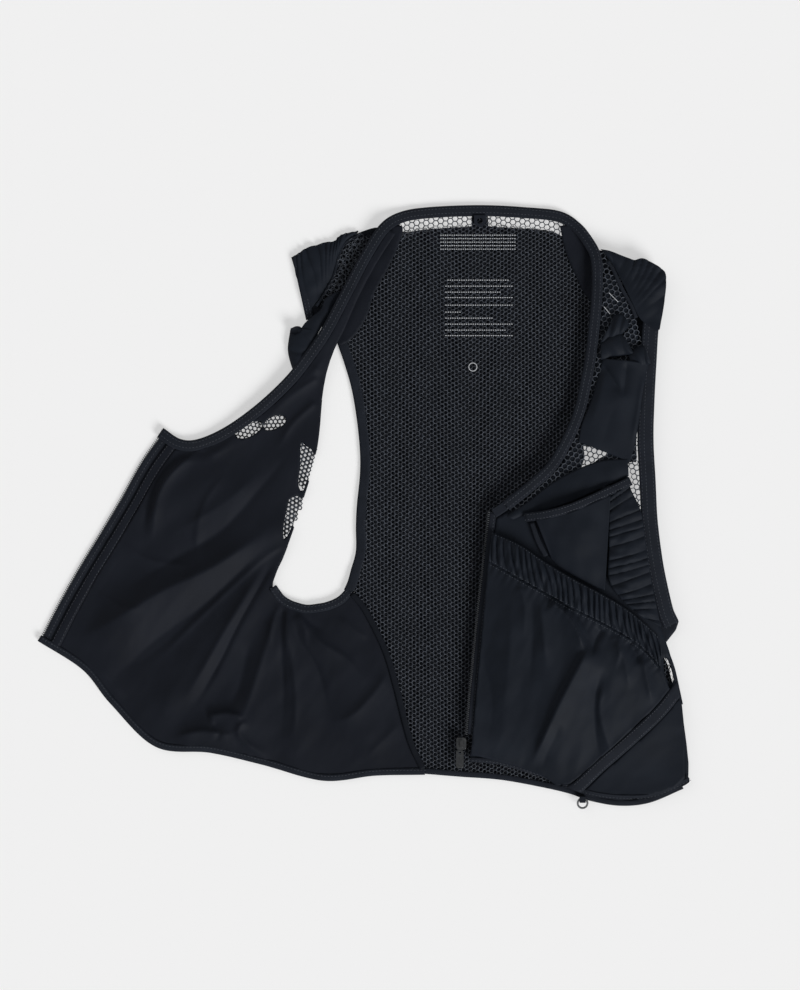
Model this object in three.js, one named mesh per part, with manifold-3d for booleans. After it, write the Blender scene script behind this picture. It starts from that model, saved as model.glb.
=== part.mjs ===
// A running hydration vest lying on its back on a flat surface, seen from above with the collar towards +Y.
// The right front is closed over the back, and the left front is opened out to the side.
// Millimetres, +Z up, the surface at z = 0, the origin under the middle of the vest.
import * as THREE from "three";
import Module from "manifold-3d";
import { mergeVertices } from "three/addons/utils/BufferGeometryUtils.js";

// The vest as it lies
const spread = 491; // tip of the opened front to the far corner of the hem
const length = 451; // top of the collar to the lowest hem

// Thicknesses
const clothWall = 1.2;
const netWall = 1.6;
const tapeWall = 2.4;
const hemWall = 2.8;
const collarWall = 3.6;
const gap = 0.35; // between pieces that touch

// How high the soft pieces stand
const frontStand = 8.4; // underside of the closed front over the surface
const belly = 3.5; // extra rise of the closed front at its middle
const foldHeight = 5;
const foldWidth = 9; // half width of a fold
const pocketLoft = 7.5; // mouth of a pocket off the front
const sleeveLoft = 6.6;
const sleeveFullness = 0.6; // under 1, the sleeve stays full for longer towards its foot
const foldLoft = 3; // puffed folds at the sleeve's mouth
const pleatDepth = 1.7;

// Widths of tapes and bindings
const collarWidth = 7;
const armholeWidth = 6;
const underarmWidth = 3.4;
const sideBandWidth = 12;
const hemWidth = 3.2;
const capBandWidth = 5.6;
const pipingWidth = 2.6;
const coilWidth = 2.2;
const coilWall = 2;
const zipTapeWidth = 4;
const openTapeWidth = 6.6;
const facingWidth = 6.4;
const mouthWidth = 6.4;
const pocketSideWidth = 3.4;
const diagonalWidth = 9;

// Net windows at the nape
const windowTall = 8.2;
const netPitch = 4.2;
const netHole = 1.7; // radius of a hole

// Hanger loop, slider, pull and ring
const loopWidth = 9;
const loopLength = 8.4;
const sliderLength = 9;
const sliderWidth = 7.4;
const sliderHeight = 4.2;
const sliderPlateWall = 1.4;
const bridgeLength = 5.6;
const bridgeWidth = 1.9;
const bridgeWall = 0.9;
const bridgeFoot = 1.2;
const bridgeOpening = 0.8;
const pullLength = 13.5;
const pullWidth = 5.6;
const pullWall = 1.6;
const ringRadius = 3.7;
const ringWire = 0.8; // half the wire's thickness
const tabWidth = 4.4;

const backTop = clothWall + gap + netWall;
const overBack = backTop + gap;
const overShell = clothWall + gap;

const wasm = await Module();
wasm.setup();
const vest = new THREE.Group();
const { lerp, clamp, smoothstep } = THREE.MathUtils;

// Tables give places in per cent of the spread, from the left, and of the length, from the lowest hem.
// A third number lifts the place by that share of loft.
function at([x, y, lift = 0], loft = frontStand) {
  return new THREE.Vector3((x / 100 - 0.5) * spread, (y / 100 - 0.5) * length, lift * loft);
}

function placeOf(p) {
  return { x: (p.x / spread + 0.5) * 100, y: (p.y / length + 0.5) * 100 };
}

// Lines

// A smooth line through table places, which turns sharply at the numbered corners.
function smoothLine(places, { corners = [], steps = 2, loft = frontStand } = {}) {
  const points = places.map((place) => at(place, loft));
  const stops = [0, ...corners, points.length - 1];
  const line = [points[0]];
  stops.slice(1).forEach((stop, run) => {
    const part = points.slice(stops[run], stop + 1);
    const curve = new THREE.CatmullRomCurve3(part);
    const count = (part.length - 1) * steps;
    for (let i = 1; i <= count; i++) line.push(curve.getPoint(i / count));
  });
  line.forEach((p) => p.setZ(Math.max(p.z, 0)));
  return line;
}

// How far along the line each of its points is.
function reaches(line) {
  const reach = [0];
  line.slice(1).forEach((p, i) => reach.push(reach[i] + p.distanceTo(line[i])));
  return reach;
}

function pointAlong(line, reach, s) {
  const i = clamp(reach.findIndex((r) => r >= s - 1e-9), 1, line.length - 1);
  return line[i - 1].clone().lerp(line[i], (s - reach[i - 1]) / (reach[i] - reach[i - 1]));
}

function evenly(line, count) {
  const reach = reaches(line);
  return Array.from({ length: count + 1 }, (_, k) => pointAlong(line, reach, (reach.at(-1) * k) / count));
}

// The part of a line that runs to the right between two places across, in per cent.
function between(line, left, right = Infinity) {
  const across = line.map((p) => placeOf(p).x);
  const inside = line.filter((p, i) => across[i] > left && across[i] < right);
  const end = (x) => {
    const i = across.findIndex((a) => a >= x);
    if (i < 1) return [];
    return [line[i - 1].clone().lerp(line[i], (x - across[i - 1]) / (across[i] - across[i - 1]))];
  };
  return [...end(left), ...inside, ...end(right)];
}

function flatNormal(from, to) {
  return new THREE.Vector3(from.y - to.y, to.x - from.x, 0).normalize();
}

// Unit vectors square to a line in plan, on its left.
function leftNormals(line) {
  const last = line.length - 1;
  return line.map((p, i) => flatNormal(line[Math.max(i - 1, 0)], line[Math.min(i + 1, last)]));
}

// The line moved to its left in plan. distance is one length, or a function of the stretch's number.
function offsetLine(line, distance) {
  const far = typeof distance === "function" ? distance : () => distance;
  const last = line.length - 1;
  const sharp = 0.35; // sine of the turn from which a corner is kept
  const moved = line.map((p) => p.clone());
  line.forEach((p, i) => {
    const [h, k] = [Math.max(i - 1, 0), Math.min(i, last - 1)];
    const [m, n] = [flatNormal(line[h], line[h + 1]), flatNormal(line[k], line[k + 1])];
    const [dm, dn] = [far(h), far(k)];
    const turn = m.x * n.y - m.y * n.x;
    if (Math.abs(turn) < sharp) {
      moved[i].addScaledVector(m.add(n).normalize(), (dm + dn) / 2);
      return;
    }
    moved[i].x += (dm * n.y - dn * m.y) / turn;
    moved[i].y += (dn * m.x - dm * n.x) / turn;
  });
  // A point that has passed the corner next to it is drawn back to that corner.
  for (let i = 1; i < last; i++) {
    const before = line[i].clone().sub(line[i - 1]).setZ(0);
    const after = line[i + 1].clone().sub(line[i]).setZ(0);
    const sine = before.clone().cross(after).z / (before.length() * after.length());
    if (Math.abs(sine) < sharp) continue;
    for (const h of [i - 1, i - 2]) {
      if (h >= 0 && moved[h].clone().sub(moved[i]).dot(before) > 0) moved[h].copy(moved[i]);
    }
    for (const k of [i + 1, i + 2]) {
      if (k <= last && moved[k].clone().sub(moved[i]).dot(after) < 0) moved[k].copy(moved[i]);
    }
  }
  return moved;
}

// Solids

function closedGeometry(vertices, faces) {
  const raw = new THREE.BufferGeometry();
  const numbers = vertices.flatMap((v) => v.toArray());
  raw.setAttribute("position", new THREE.Float32BufferAttribute(numbers, 3));
  raw.setIndex(faces.flat());
  const merged = mergeVertices(raw, 1e-3);
  const place = merged.attributes.position;
  const corner = (i) => new THREE.Vector3().fromBufferAttribute(place, i);
  const kept = [];
  let volume = 0;
  for (let i = 0; i < merged.index.count; i += 3) {
    const [a, b, c] = merged.index.array.slice(i, i + 3);
    if (a === b || b === c || c === a) continue;
    kept.push([a, b, c]);
    volume += corner(a).dot(corner(b).cross(corner(c)));
  }
  merged.setIndex(kept.flatMap((face) => (volume < 0 ? face.reverse() : face)));
  return merged;
}

function quad(a, b, c, d) {
  return [[a, b, c], [a, c, d]];
}

function add(name, geometry, material) {
  geometry.computeVertexNormals();
  const mesh = new THREE.Mesh(geometry, material);
  mesh.name = name;
  vest.add(mesh);
  return mesh;
}

// Height that a table of folds adds at a place. A fold is a rounded ridge, or a dent where high is negative.
function foldRise(folds, p) {
  return folds.reduce((sum, fold) => {
    const from = at(fold.from);
    const along = at(fold.to).sub(from);
    const here = p.clone().sub(from).setZ(0);
    const t = clamp(here.dot(along) / along.lengthSq(), 0, 1);
    const away = here.addScaledVector(along, -t).length() / (fold.wide * foldWidth);
    return sum + fold.high * foldHeight * Math.exp(-away * away);
  }, 0);
}

// Cloth ruled between two lines of as many points each. under(p) is the height of what it lies on,
// the lines' own z is their height over that, and dome arches the cloth between them.
function cloth({
  lineA, lineB, across, under, wall = clothWall, dome = 0, domeAt = (v) => Math.sin(Math.PI * v),
  folds = [], pleats = null, endLine = null, endFrom = 0.8,
}) {
  const rows = lineA.length - 1;
  const end = endLine && (endLine.length === across + 1 ? endLine : evenly(endLine, across));
  const placeAt = (i, j) => {
    const [u, v] = [j / across, i / rows];
    const p = lineA[i].clone().lerp(lineB[i], u);
    if (end) {
      if (i === rows) p.setX(end[j].x).setY(end[j].y);
      const straight = end[0].clone().lerp(end[across], u);
      const bow = end[j].clone().sub(straight).setZ(0);
      if (i < rows) p.addScaledVector(bow, smoothstep(v, endFrom, 1));
    }
    p.z += under(p) + dome * domeAt(v) * Math.sin(Math.PI * u) + foldRise(folds, p);
    if (pleats) p.z += pleatDepth * (i % 2) * lerp(pleats.atA, pleats.atB, u);
    return p;
  };
  const vertices = [];
  for (const lift of [0, wall]) {
    for (let i = 0; i <= rows; i++) {
      for (let j = 0; j <= across; j++) {
        const p = placeAt(i, j);
        p.z += lift;
        vertices.push(p);
      }
    }
  }
  const id = (side, i, j) => (side * (rows + 1) + i) * (across + 1) + j;
  const faces = [];
  for (let i = 0; i < rows; i++) {
    for (let j = 0; j < across; j++) {
      faces.push(...quad(id(1, i, j), id(1, i + 1, j), id(1, i + 1, j + 1), id(1, i, j + 1)));
      faces.push(...quad(id(0, i, j), id(0, i, j + 1), id(0, i + 1, j + 1), id(0, i + 1, j)));
    }
    const k = across;
    faces.push(...quad(id(0, i, 0), id(0, i + 1, 0), id(1, i + 1, 0), id(1, i, 0)));
    faces.push(...quad(id(0, i, k), id(1, i, k), id(1, i + 1, k), id(0, i + 1, k)));
  }
  for (let j = 0; j < across; j++) {
    const k = rows;
    faces.push(...quad(id(0, 0, j), id(1, 0, j), id(1, 0, j + 1), id(0, 0, j + 1)));
    faces.push(...quad(id(0, k, j), id(0, k, j + 1), id(1, k, j + 1), id(1, k, j)));
  }
  return closedGeometry(vertices, faces);
}

// A solid through rings of as many points each, closed at both ends.
function loftRings(rings) {
  const n = rings[0].length;
  const faces = [];
  for (let i = 0; i < rings.length - 1; i++) {
    for (let j = 0; j < n; j++) {
      const k = (j + 1) % n;
      faces.push(...quad(i * n + j, i * n + k, (i + 1) * n + k, (i + 1) * n + j));
    }
  }
  const last = (rings.length - 1) * n;
  for (let j = 1; j < n - 1; j++) faces.push([0, j + 1, j], [last, last + j, last + j + 1]);
  return closedGeometry(rings.flat(), faces);
}

// Tape or binding beside a line, from near to near + width on its left, or on its right where width is
// negative. from and to are how far short of the line's ends it stops.
function tape({ line, near = 0, width, wall = tapeWall, under = () => 0, from = gap, to = gap }) {
  const round = 0.28; // share of the wall that the outer edge is rounded by
  const soft = round * wall * Math.sign(width);
  const square = [
    { side: near, up: 0 },
    { side: near + width, up: 0 },
    { side: near + width, up: 1 },
    { side: near, up: 1 },
  ];
  const rounded = [
    { side: near, up: round },
    { side: near + soft, up: 0 },
    { side: near + width, up: 0 },
    { side: near + width, up: 1 },
    { side: near + soft, up: 1 },
    { side: near, up: 1 - round },
  ];
  const profile = wall < tapeWall ? square : rounded;
  const normals = leftNormals(line);
  const reach = reaches(line);
  const end = reach.at(-1) - to;
  const stations = [from, ...reach.filter((s) => s > from + 1 && s < end - 1), end];
  const strands = profile.map(({ side }) => line.map((p, i) => p.clone().addScaledVector(normals[i], side)));
  const rings = stations.map((s) => {
    const i = clamp(reach.findIndex((r) => r >= s), 1, line.length - 1);
    const t = (s - reach[i - 1]) / (reach[i] - reach[i - 1]);
    return profile.map(({ up }, k) => {
      const v = strands[k][i - 1].clone().lerp(strands[k][i], t);
      v.z += under(v) + up * wall;
      return v;
    });
  });
  return loftRings(rings);
}

// A soft tube open at both ends, flattened on the surface.
function softTube(sections, sides) {
  const centres = sections.map((section) => at(section.at));
  const normals = leftNormals(centres);
  const rings = [0, clothWall].map((inside) =>
    sections.flatMap((section, i) =>
      Array.from({ length: sides }, (_, k) => {
        const turn = (2 * Math.PI * k) / sides;
        const v = centres[i].clone();
        v.addScaledVector(normals[i], (section.wide / 2 - inside) * Math.cos(turn));
        v.z = section.tall / 2 + (section.tall / 2 - inside) * Math.sin(turn);
        return v;
      }),
    ),
  );
  const inner = rings[0].length;
  const faces = [];
  for (let i = 0; i < sections.length - 1; i++) {
    for (let k = 0; k < sides; k++) {
      const [a, b] = [i * sides + k, i * sides + ((k + 1) % sides)];
      faces.push(...quad(a, b, b + sides, a + sides));
      faces.push(...quad(inner + a, inner + a + sides, inner + b + sides, inner + b));
    }
  }
  const last = (sections.length - 1) * sides;
  for (let k = 0; k < sides; k++) {
    const next = (k + 1) % sides;
    faces.push(...quad(k, inner + k, inner + next, next));
    faces.push(...quad(last + k, last + next, inner + last + next, inner + last + k));
  }
  return closedGeometry(rings.flat(), faces);
}

// Level cloth cut to an outline.
function level({ outline, low, wall = clothWall, holes = [] }) {
  const flat = (points) => points.map((p) => new THREE.Vector2(p.x, p.y));
  const apart = outline.filter((p, i) => p.distanceTo(outline.at(i - 1)) > 0.01);
  const shape = new THREE.Shape(flat(apart));
  holes.forEach((hole) => shape.holes.push(new THREE.Path(flat(hole))));
  return new THREE.ExtrudeGeometry(shape, { depth: wall, bevelEnabled: false }).translate(0, 0, low);
}

function asSolid(geometry) {
  const bare = geometry.clone().deleteAttribute("normal").deleteAttribute("uv");
  const merged = mergeVertices(bare, 1e-3);
  const vertProperties = merged.attributes.position.array;
  const triVerts = new Uint32Array(merged.index.array);
  return new wasm.Manifold(new wasm.Mesh({ numProp: 3, vertProperties, triVerts }));
}

function asGeometry(solid) {
  const made = solid.getMesh();
  return new THREE.BufferGeometry()
    .setAttribute("position", new THREE.BufferAttribute(made.vertProperties, 3))
    .setIndex(new THREE.BufferAttribute(made.triVerts, 1));
}

// Finishes
function finish(color, roughness, metalness = 0) {
  return new THREE.MeshStandardMaterial({ color, roughness, metalness });
}
const shellCloth = finish(0x1a1c22, 0.75);
const liningCloth = finish(0x1f2127, 0.62);
const netCloth = finish(0x14161b, 0.9);
const bindingCloth = finish(0x212328, 0.8);
const pocketCloth = finish(0x1d1f26, 0.55);
const coilPlastic = finish(0x2c2f33, 0.45);
const sliderMetal = finish(0x55595e, 0.35, 0.9);
const ringMetal = finish(0x8a8d90, 0.3, 1);

// Where the closed front's underside lies: off the back, and down on it at the hem and the lower side.
function frontUnder(p) {
  const { x, y } = placeOf(p);
  const hem = smoothstep(y, 3, 14);
  const side = 1 - smoothstep(x, 92, 100) * (1 - smoothstep(y, 20, 34));
  const shoulder = 1 - 0.45 * smoothstep(y, 84, 93);
  const middle = Math.exp(-(((x - 82) / 12) ** 2) - ((y - 30) / 22) ** 2);
  return overBack + (frontStand - overBack) * hem * side * shoulder + belly * middle * side;
}

function onFront(p) {
  return frontUnder(p) + netWall + gap;
}

// Edges of the vest

// Opened left front: a is its edge along the armhole, b its edge along the collar, the zip and the hem.
const openedRows = [
  { a: [54.8, 95.3, 0.5], b: [52.4, 96.7, 0.46] },
  { a: [51.9, 90.4, 0.62], b: [49.5, 91.8, 0.58] },
  { a: [48.9, 84.2, 0.66], b: [46.3, 85.2, 0.66] },
  { a: [46.9, 79.2, 0.6], b: [43.5, 79.6, 0.66] },
  { a: [45.4, 75.9, 0.5], b: [40.9, 75.4, 0.6] },
  { a: [44.2, 72.0, 0.4], b: [37.9, 71.2, 0.48] },
  { a: [43.5, 67.6, 0.3], b: [33.5, 66.7, 0.35] },
  { a: [43.2, 63.4, 0.2], b: [28.7, 63.1, 0.2] },
  { a: [42.7, 59.2, 0.12], b: [24.6, 61.1, 0.12] },
  { a: [42.1, 56.6, 0.1], b: [21.8, 61.0, 0.1] },
  { a: [41.5, 53.9, 0.1], b: [19.3, 62.9, 0.1] },
  { a: [40.6, 50.9, 0.1], b: [15.8, 57.6, 0.1] },
  { a: [39.7, 47.8, 0.1], b: [12.4, 51.1, 0.08] },
  { a: [38.6, 44.3, 0.1], b: [9.2, 45.3, 0.06] },
  { a: [37.4, 40.9, 0.08], b: [6.2, 40.1, 0.04] },
  { a: [36.3, 38.2, 0.06], b: [3.1, 33.9, 0.02] },
  { a: [36.6, 36.4, 0.04], b: [0.0, 27.5, 0.0] },
  { a: [37.5, 35.1, 0.03], b: [6.9, 22.7, 0.02] },
  { a: [38.6, 34.2, 0.03], b: [11.2, 16.9, 0.04] },
  { a: [39.8, 33.7, 0.03], b: [18.0, 9.9, 0.06] },
  { a: [41.2, 33.5, 0.03], b: [26.4, 8.8, 0.1] },
  { a: [42.7, 33.6, 0.03], b: [34.4, 6.8, 0.06] },
  { a: [44.3, 33.9, 0.03], b: [43.6, 4.2, 0.02] },
  { a: [45.9, 34.7, 0.03], b: [51.6, 5.0, 0.0] },
  { a: [47.4, 36.2, 0.03], b: [59.2, 5.2, 0.0] },
];
const openedCorner = 10; // row where the collar edge turns into the zip edge
const openedTip = 16; // row where the zip edge turns into the hem
const underarmStart = 16; // row where the underarm binding starts
const shellStart = 6; // row where the outer cloth under the lining starts

const openedFolds = [
  { from: [38, 57], to: [13, 33], high: 0.75, wide: 1.5 },
  { from: [36, 46], to: [12, 28], high: 0.9, wide: 1.3 },
  { from: [35, 37], to: [20, 19], high: 0.7, wide: 1.2 },
  { from: [38, 30], to: [31, 14], high: 0.75, wide: 1.1 },
  { from: [40, 28], to: [40, 10], high: 0.65, wide: 1.0 },
  { from: [43, 28], to: [50, 12], high: 0.7, wide: 1.3 },
  { from: [27, 55], to: [19, 49], high: 0.6, wide: 1.2 },
  { from: [24, 12], to: [32, 13], high: 0.6, wide: 1.0 },
];

// Closed front: a is its edge along the collar and the zip, b its edge along the shoulder piping, the
// side band and the side.
const frontRows = [
  { a: [84.9, 91.2], b: [86.9, 90.7] },
  { a: [84.9, 85.9], b: [89.1, 85.7] },
  { a: [84.4, 80.0], b: [91.2, 81.0] },
  { a: [83.8, 74.6], b: [91.9, 74.2] },
  { a: [83.1, 70.4], b: [91.6, 68.4] },
  { a: [82.1, 66.0], b: [91.4, 62.9] },
  { a: [80.5, 61.4], b: [91.5, 57.6] },
  { a: [78.2, 57.1], b: [91.8, 52.2] },
  { a: [75.0, 53.7], b: [92.0, 47.6] },
  { a: [71.1, 50.6], b: [92.4, 43.4] },
  { a: [68.7, 48.9], b: [92.8, 40.1] },
  { a: [68.2, 44.3], b: [93.4, 35.9] },
  { a: [67.6, 38.4], b: [94.0, 32.6] },
  { a: [67.0, 32.6], b: [95.7, 28.2] },
  { a: [66.4, 26.0], b: [97.1, 23.6] },
  { a: [65.7, 17.6], b: [98.3, 17.0] },
  { a: [65.2, 11.4], b: [99.2, 10.4] },
  { a: [65.9, 7.4], b: [99.8, 4.0] },
];
const collarFoot = 9; // row where the collar ends over the zip
const zipTop = 10;
const zipFoot = 16;
const pipingFoot = 2; // row where the piping of the shoulder cap ends

const frontHemPlaces = [
  [65.9, 7.4], [70.7, 6.8], [76.8, 4.8], [80.6, 3.2], [84.4, 1.7], [89.0, 1.0], [94.4, 1.3], [99.8, 4.0],
];
const sideBandPlaces = [
  [95.7, 88.6], [95.4, 84.2], [94.8, 79.2], [94.5, 73.9], [94.2, 67.6], [94.0, 60.9], [94.4, 54.2],
  [94.7, 47.6], [95.4, 40.9], [96.3, 35.9], [97.1, 32.6], [97.9, 30.8],
];
const neckPlaces = [
  [52.4, 96.7, 0.46], [55.4, 98.8, 0.02], [59.8, 99.6], [67.6, 100], [74.5, 99.7], [79.8, 99.0],
  [82.8, 97.2, 0.05], [84.8, 94.5, 0.45], [86.3, 91.2, 0.76],
];
const backArmPlaces = [
  [47.9, 39.3], [48.7, 42.5], [48.7, 46.5], [48.9, 50.1], [49.3, 55.1], [49.3, 59.2], [48.9, 64.2],
  [48.1, 69.2], [47.0, 73.4], [45.8, 77.2],
];
const backHemPlaces = [
  [60.0, 5.2], [64.6, 4.8], [70.7, 4.3], [76.8, 3.2], [81.4, 2.0], [84.4, 0.8], [89.0, 0], [93.6, 0.5],
  [98.8, 2.8],
];
const backRightPlaces = [
  [84.6, 89.8], [86.7, 89.2], [89.0, 85.4], [90.2, 81.0], [88.2, 76.7], [85.8, 71.7], [83.4, 64.5],
  [82.0, 58.0], [83.0, 49.0], [85.7, 39.3], [89.3, 33.4], [94.0, 28.3], [96.4, 23.5], [97.8, 17.6],
  [98.6, 11.0], [98.9, 5.4],
];
const sideSeamPlaces = [[48.1, 35.2], [50.1, 32.6], [53.1, 26.0], [55.0, 19.3], [56.9, 11.0], [58.9, 6.1]];
const leftPipingPlaces = [[49.3, 95.2], [47.0, 93.7], [46.0, 91.2], [45.4, 88.4], [44.0, 85.4], [42.6, 83.2]];

const steps = 2; // points for each row of the tables
const openedInner = smoothLine(openedRows.map((row) => row.a));
const openedOuter = smoothLine(openedRows.map((row) => row.b), { corners: [openedCorner, openedTip] });
const frontInner = smoothLine(frontRows.map((row) => row.a), { corners: [zipTop] });
const frontOuter = smoothLine(frontRows.map((row) => row.b));
const neckLine = smoothLine(neckPlaces);
const backArm = smoothLine(backArmPlaces, { steps: 1 });
const backHem = smoothLine(backHemPlaces, { steps: 1 });
const sideSeam = smoothLine(sideSeamPlaces);
const leftPiping = smoothLine(leftPipingPlaces, { steps: 1 });
const frontHem = smoothLine(frontHemPlaces, { steps: 1 });
const sideBand = smoothLine(sideBandPlaces, { steps: 1 });

function rowsOf(line, first, last) {
  return line.slice(first * steps, last * steps + 1);
}

// Back, with its net and the net windows at the nape

const windows = [
  { name: "neck_net_left", left: 55.6, right: 66.3 },
  { name: "neck_net_right", left: 69.0, right: 80.8 },
];
const sideways = (100 * gap) / spread;
const underCollar = offsetLine(neckLine, -(collarWidth + gap));
const windowFoot = offsetLine(neckLine, -(collarWidth + gap + windowTall));
const belowWindow = offsetLine(neckLine, -(collarWidth + windowTall + 2 * gap));
const [windowA, windowB] = windows;
const backOutline = [
  ...between(underCollar, 0, windowA.left - sideways),
  ...between(belowWindow, windowA.left - sideways, windowA.right + sideways),
  ...between(underCollar, windowA.right + sideways, windowB.left - sideways),
  ...between(belowWindow, windowB.left - sideways, windowB.right + sideways),
  ...between(underCollar, windowB.right + sideways, 83.6),
  ...smoothLine(backRightPlaces, { steps: 1 }),
  ...offsetLine(backHem, hemWidth + gap).reverse(),
  ...offsetLine(sideSeam, 3 * gap).reverse(),
  ...offsetLine(backArm, -(armholeWidth + gap)),
  at([44.9, 80.4]),
  at([43.7, 82.6]),
  ...offsetLine(leftPiping, pipingWidth / 2 + gap).reverse(),
];
add("back_shell", level({ outline: backOutline, low: 0 }), shellCloth);
add("back_net", level({ outline: backOutline, low: overShell, wall: netWall }), netCloth);
add("back_armhole_binding", tape({ line: backArm, width: -armholeWidth }), bindingCloth);
add("back_hem_tape", tape({ line: backHem, width: hemWidth, wall: hemWall }), bindingCloth);

for (const { name, left, right } of windows) {
  const middle = between(offsetLine(neckLine, -(collarWidth + gap + windowTall / 2)), left, right);
  const columns = Math.floor((reaches(middle).at(-1) - 1) / netPitch - 0.5);
  const centres = evenly(middle, 2 * columns + 1).slice(1, -1);
  const holes = centres.map((centre, i) => {
    const up = (i % 2 ? -1 : 1) * (windowTall / 4);
    return Array.from({ length: 6 }, (_, k) => {
      const turn = ((k + 0.5) * Math.PI) / 3;
      const spoke = new THREE.Vector3(netHole * Math.cos(turn), up + netHole * Math.sin(turn), 0);
      return centre.clone().add(spoke);
    });
  });
  const outline = [...between(underCollar, left, right), ...between(windowFoot, left, right).reverse()];
  add(name, level({ outline, low: overShell, wall: netWall, holes }), netCloth);
}

// Hanger loop at the middle of the nape
const loopMiddle = (windowA.right + windowB.left) / 2;
const [loopTop] = between(underCollar, loopMiddle, loopMiddle + 1);
const loopShape = new THREE.Shape()
  .moveTo(-loopWidth / 2, 0)
  .lineTo(loopWidth / 2, 0)
  .lineTo(loopWidth / 2, -loopLength / 2)
  .absarc(0, -loopLength / 2, loopWidth / 2, 0, -Math.PI, true);
const slot = new THREE.Path().absarc(0, -loopLength / 2, loopWidth / 4, 0, 2 * Math.PI);
loopShape.holes.push(slot);
const loopCut = { depth: clothWall, bevelEnabled: false, curveSegments: 6 };
const loop = new THREE.ExtrudeGeometry(loopShape, loopCut);
loop.translate(loopTop.x, loopTop.y - gap, overBack);
add("hanger_loop", loop, bindingCloth);

// Collar binding from the opened front's corner over the nape and down to the closed front's zip

const lengthOf = (line) => reaches(line).at(-1);
const rightSeam = offsetLine(frontInner, collarWidth); // the closed front's binding lies on its cloth's side
const leftCollar = rowsOf(openedOuter, 0, openedCorner).reverse();
const rightCollar = rowsOf(rightSeam, 0, zipTop).map((p) => p.clone().setZ(frontUnder(p)));
const collarLine = [...leftCollar, ...neckLine.slice(1, -1), ...rightCollar];
const garageLength = lengthOf(rightCollar.slice(collarFoot * steps));
const wholeCollar = lengthOf(collarLine);
const leftEnd = lengthOf(leftCollar);
const rightStart = wholeCollar - lengthOf(rightCollar);
const openZipWidth = coilWidth + openTapeWidth + facingWidth + 3 * gap;
const collarParts = [
  { name: "collar_binding_left", from: openZipWidth + 2 * gap, end: leftEnd - gap },
  { name: "collar_binding_neck", from: leftEnd, end: rightStart - gap },
  { name: "collar_binding_right", from: rightStart, end: wholeCollar - garageLength - gap },
];
for (const { name, from, end } of collarParts) {
  const to = wholeCollar - end;
  add(name, tape({ line: collarLine, width: -collarWidth, wall: collarWall, from, to }), bindingCloth);
}

// Opened left front

const openedTrim = (stretch) => {
  if (stretch < openedCorner * steps) return collarWidth + gap;
  return stretch < openedTip * steps ? openZipWidth : hemWidth + gap;
};
const shellTrim = (stretch) => {
  const alongZip = stretch >= openedCorner * steps && stretch < openedTip * steps;
  return alongZip ? coilWidth + openTapeWidth + 2 * gap : openedTrim(stretch);
};
const underarmTrim = (stretch) => (stretch < underarmStart * steps - 1 ? 0 : -(underarmWidth + gap));
const liningInner = offsetLine(openedInner, underarmTrim);
add(
  "left_lining",
  cloth({
    lineA: liningInner,
    lineB: offsetLine(openedOuter, openedTrim),
    across: 9,
    under: () => overShell,
    folds: openedFolds,
    endLine: sideSeam,
    endFrom: 0.86,
  }),
  liningCloth,
);
const shellRows = (line) => line.slice(shellStart * steps);
const leftShellOutline = [
  ...shellRows(offsetLine(openedOuter, shellTrim)).slice(0, -1),
  ...sideSeam.map((p) => p.clone()).reverse(),
  ...shellRows(liningInner).slice(0, -1).reverse(),
];
add("left_shell", level({ outline: leftShellOutline, low: 0 }), shellCloth);

const openZip = rowsOf(openedOuter, openedCorner, openedTip);
const zipStops = { from: gap, to: hemWidth + gap };
add("left_zip_coil", tape({ line: openZip, width: coilWidth, wall: coilWall, ...zipStops }), coilPlastic);
const openTapeNear = coilWidth + gap;
const openTape = tape({
  line: openZip,
  near: openTapeNear,
  width: openTapeWidth,
  wall: clothWall,
  ...zipStops,
});
add("left_zip_tape", openTape, bindingCloth);
const facing = tape({
  line: openZip,
  near: openTapeNear + openTapeWidth + gap,
  width: facingWidth,
  wall: clothWall,
  under: () => overShell,
  ...zipStops,
});
add("left_facing", facing, liningCloth);
const openHem = rowsOf(openedOuter, openedTip, openedRows.length - 1);
add("left_hem_tape", tape({ line: openHem, width: hemWidth, wall: hemWall }), bindingCloth);
const underarm = rowsOf(openedInner, underarmStart, openedRows.length - 1);
add("left_underarm_binding", tape({ line: underarm, width: -underarmWidth }), bindingCloth);

// Left shoulder

const capBand = smoothLine([[38.8, 91.3], [39.7, 87.9], [40.5, 84.2], [41.1, 80.9]]);
add("left_cap_band", tape({ line: capBand, width: capBandWidth }), bindingCloth);
const capTop = smoothLine([[40.2, 91.7], [41.8, 92.5], [43.8, 93.7], [46.2, 94.7], [49.0, 95.7]]);
const capFoot = smoothLine([[41.95, 83.8], [42.15, 83.6]]);
const leftPleats = 14;
add(
  "left_shoulder_cap",
  cloth({
    lineA: evenly(capTop, leftPleats),
    lineB: evenly(capFoot, leftPleats),
    across: leftPiping.length - 1,
    under: () => 0,
    pleats: { atA: 1, atB: 0 },
    endLine: offsetLine(leftPiping, -(pipingWidth / 2 + gap)),
    endFrom: 0.3,
  }),
  pocketCloth,
);
add("left_cap_piping", tape({ line: leftPiping, near: -pipingWidth / 2, width: pipingWidth }), bindingCloth);

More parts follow.
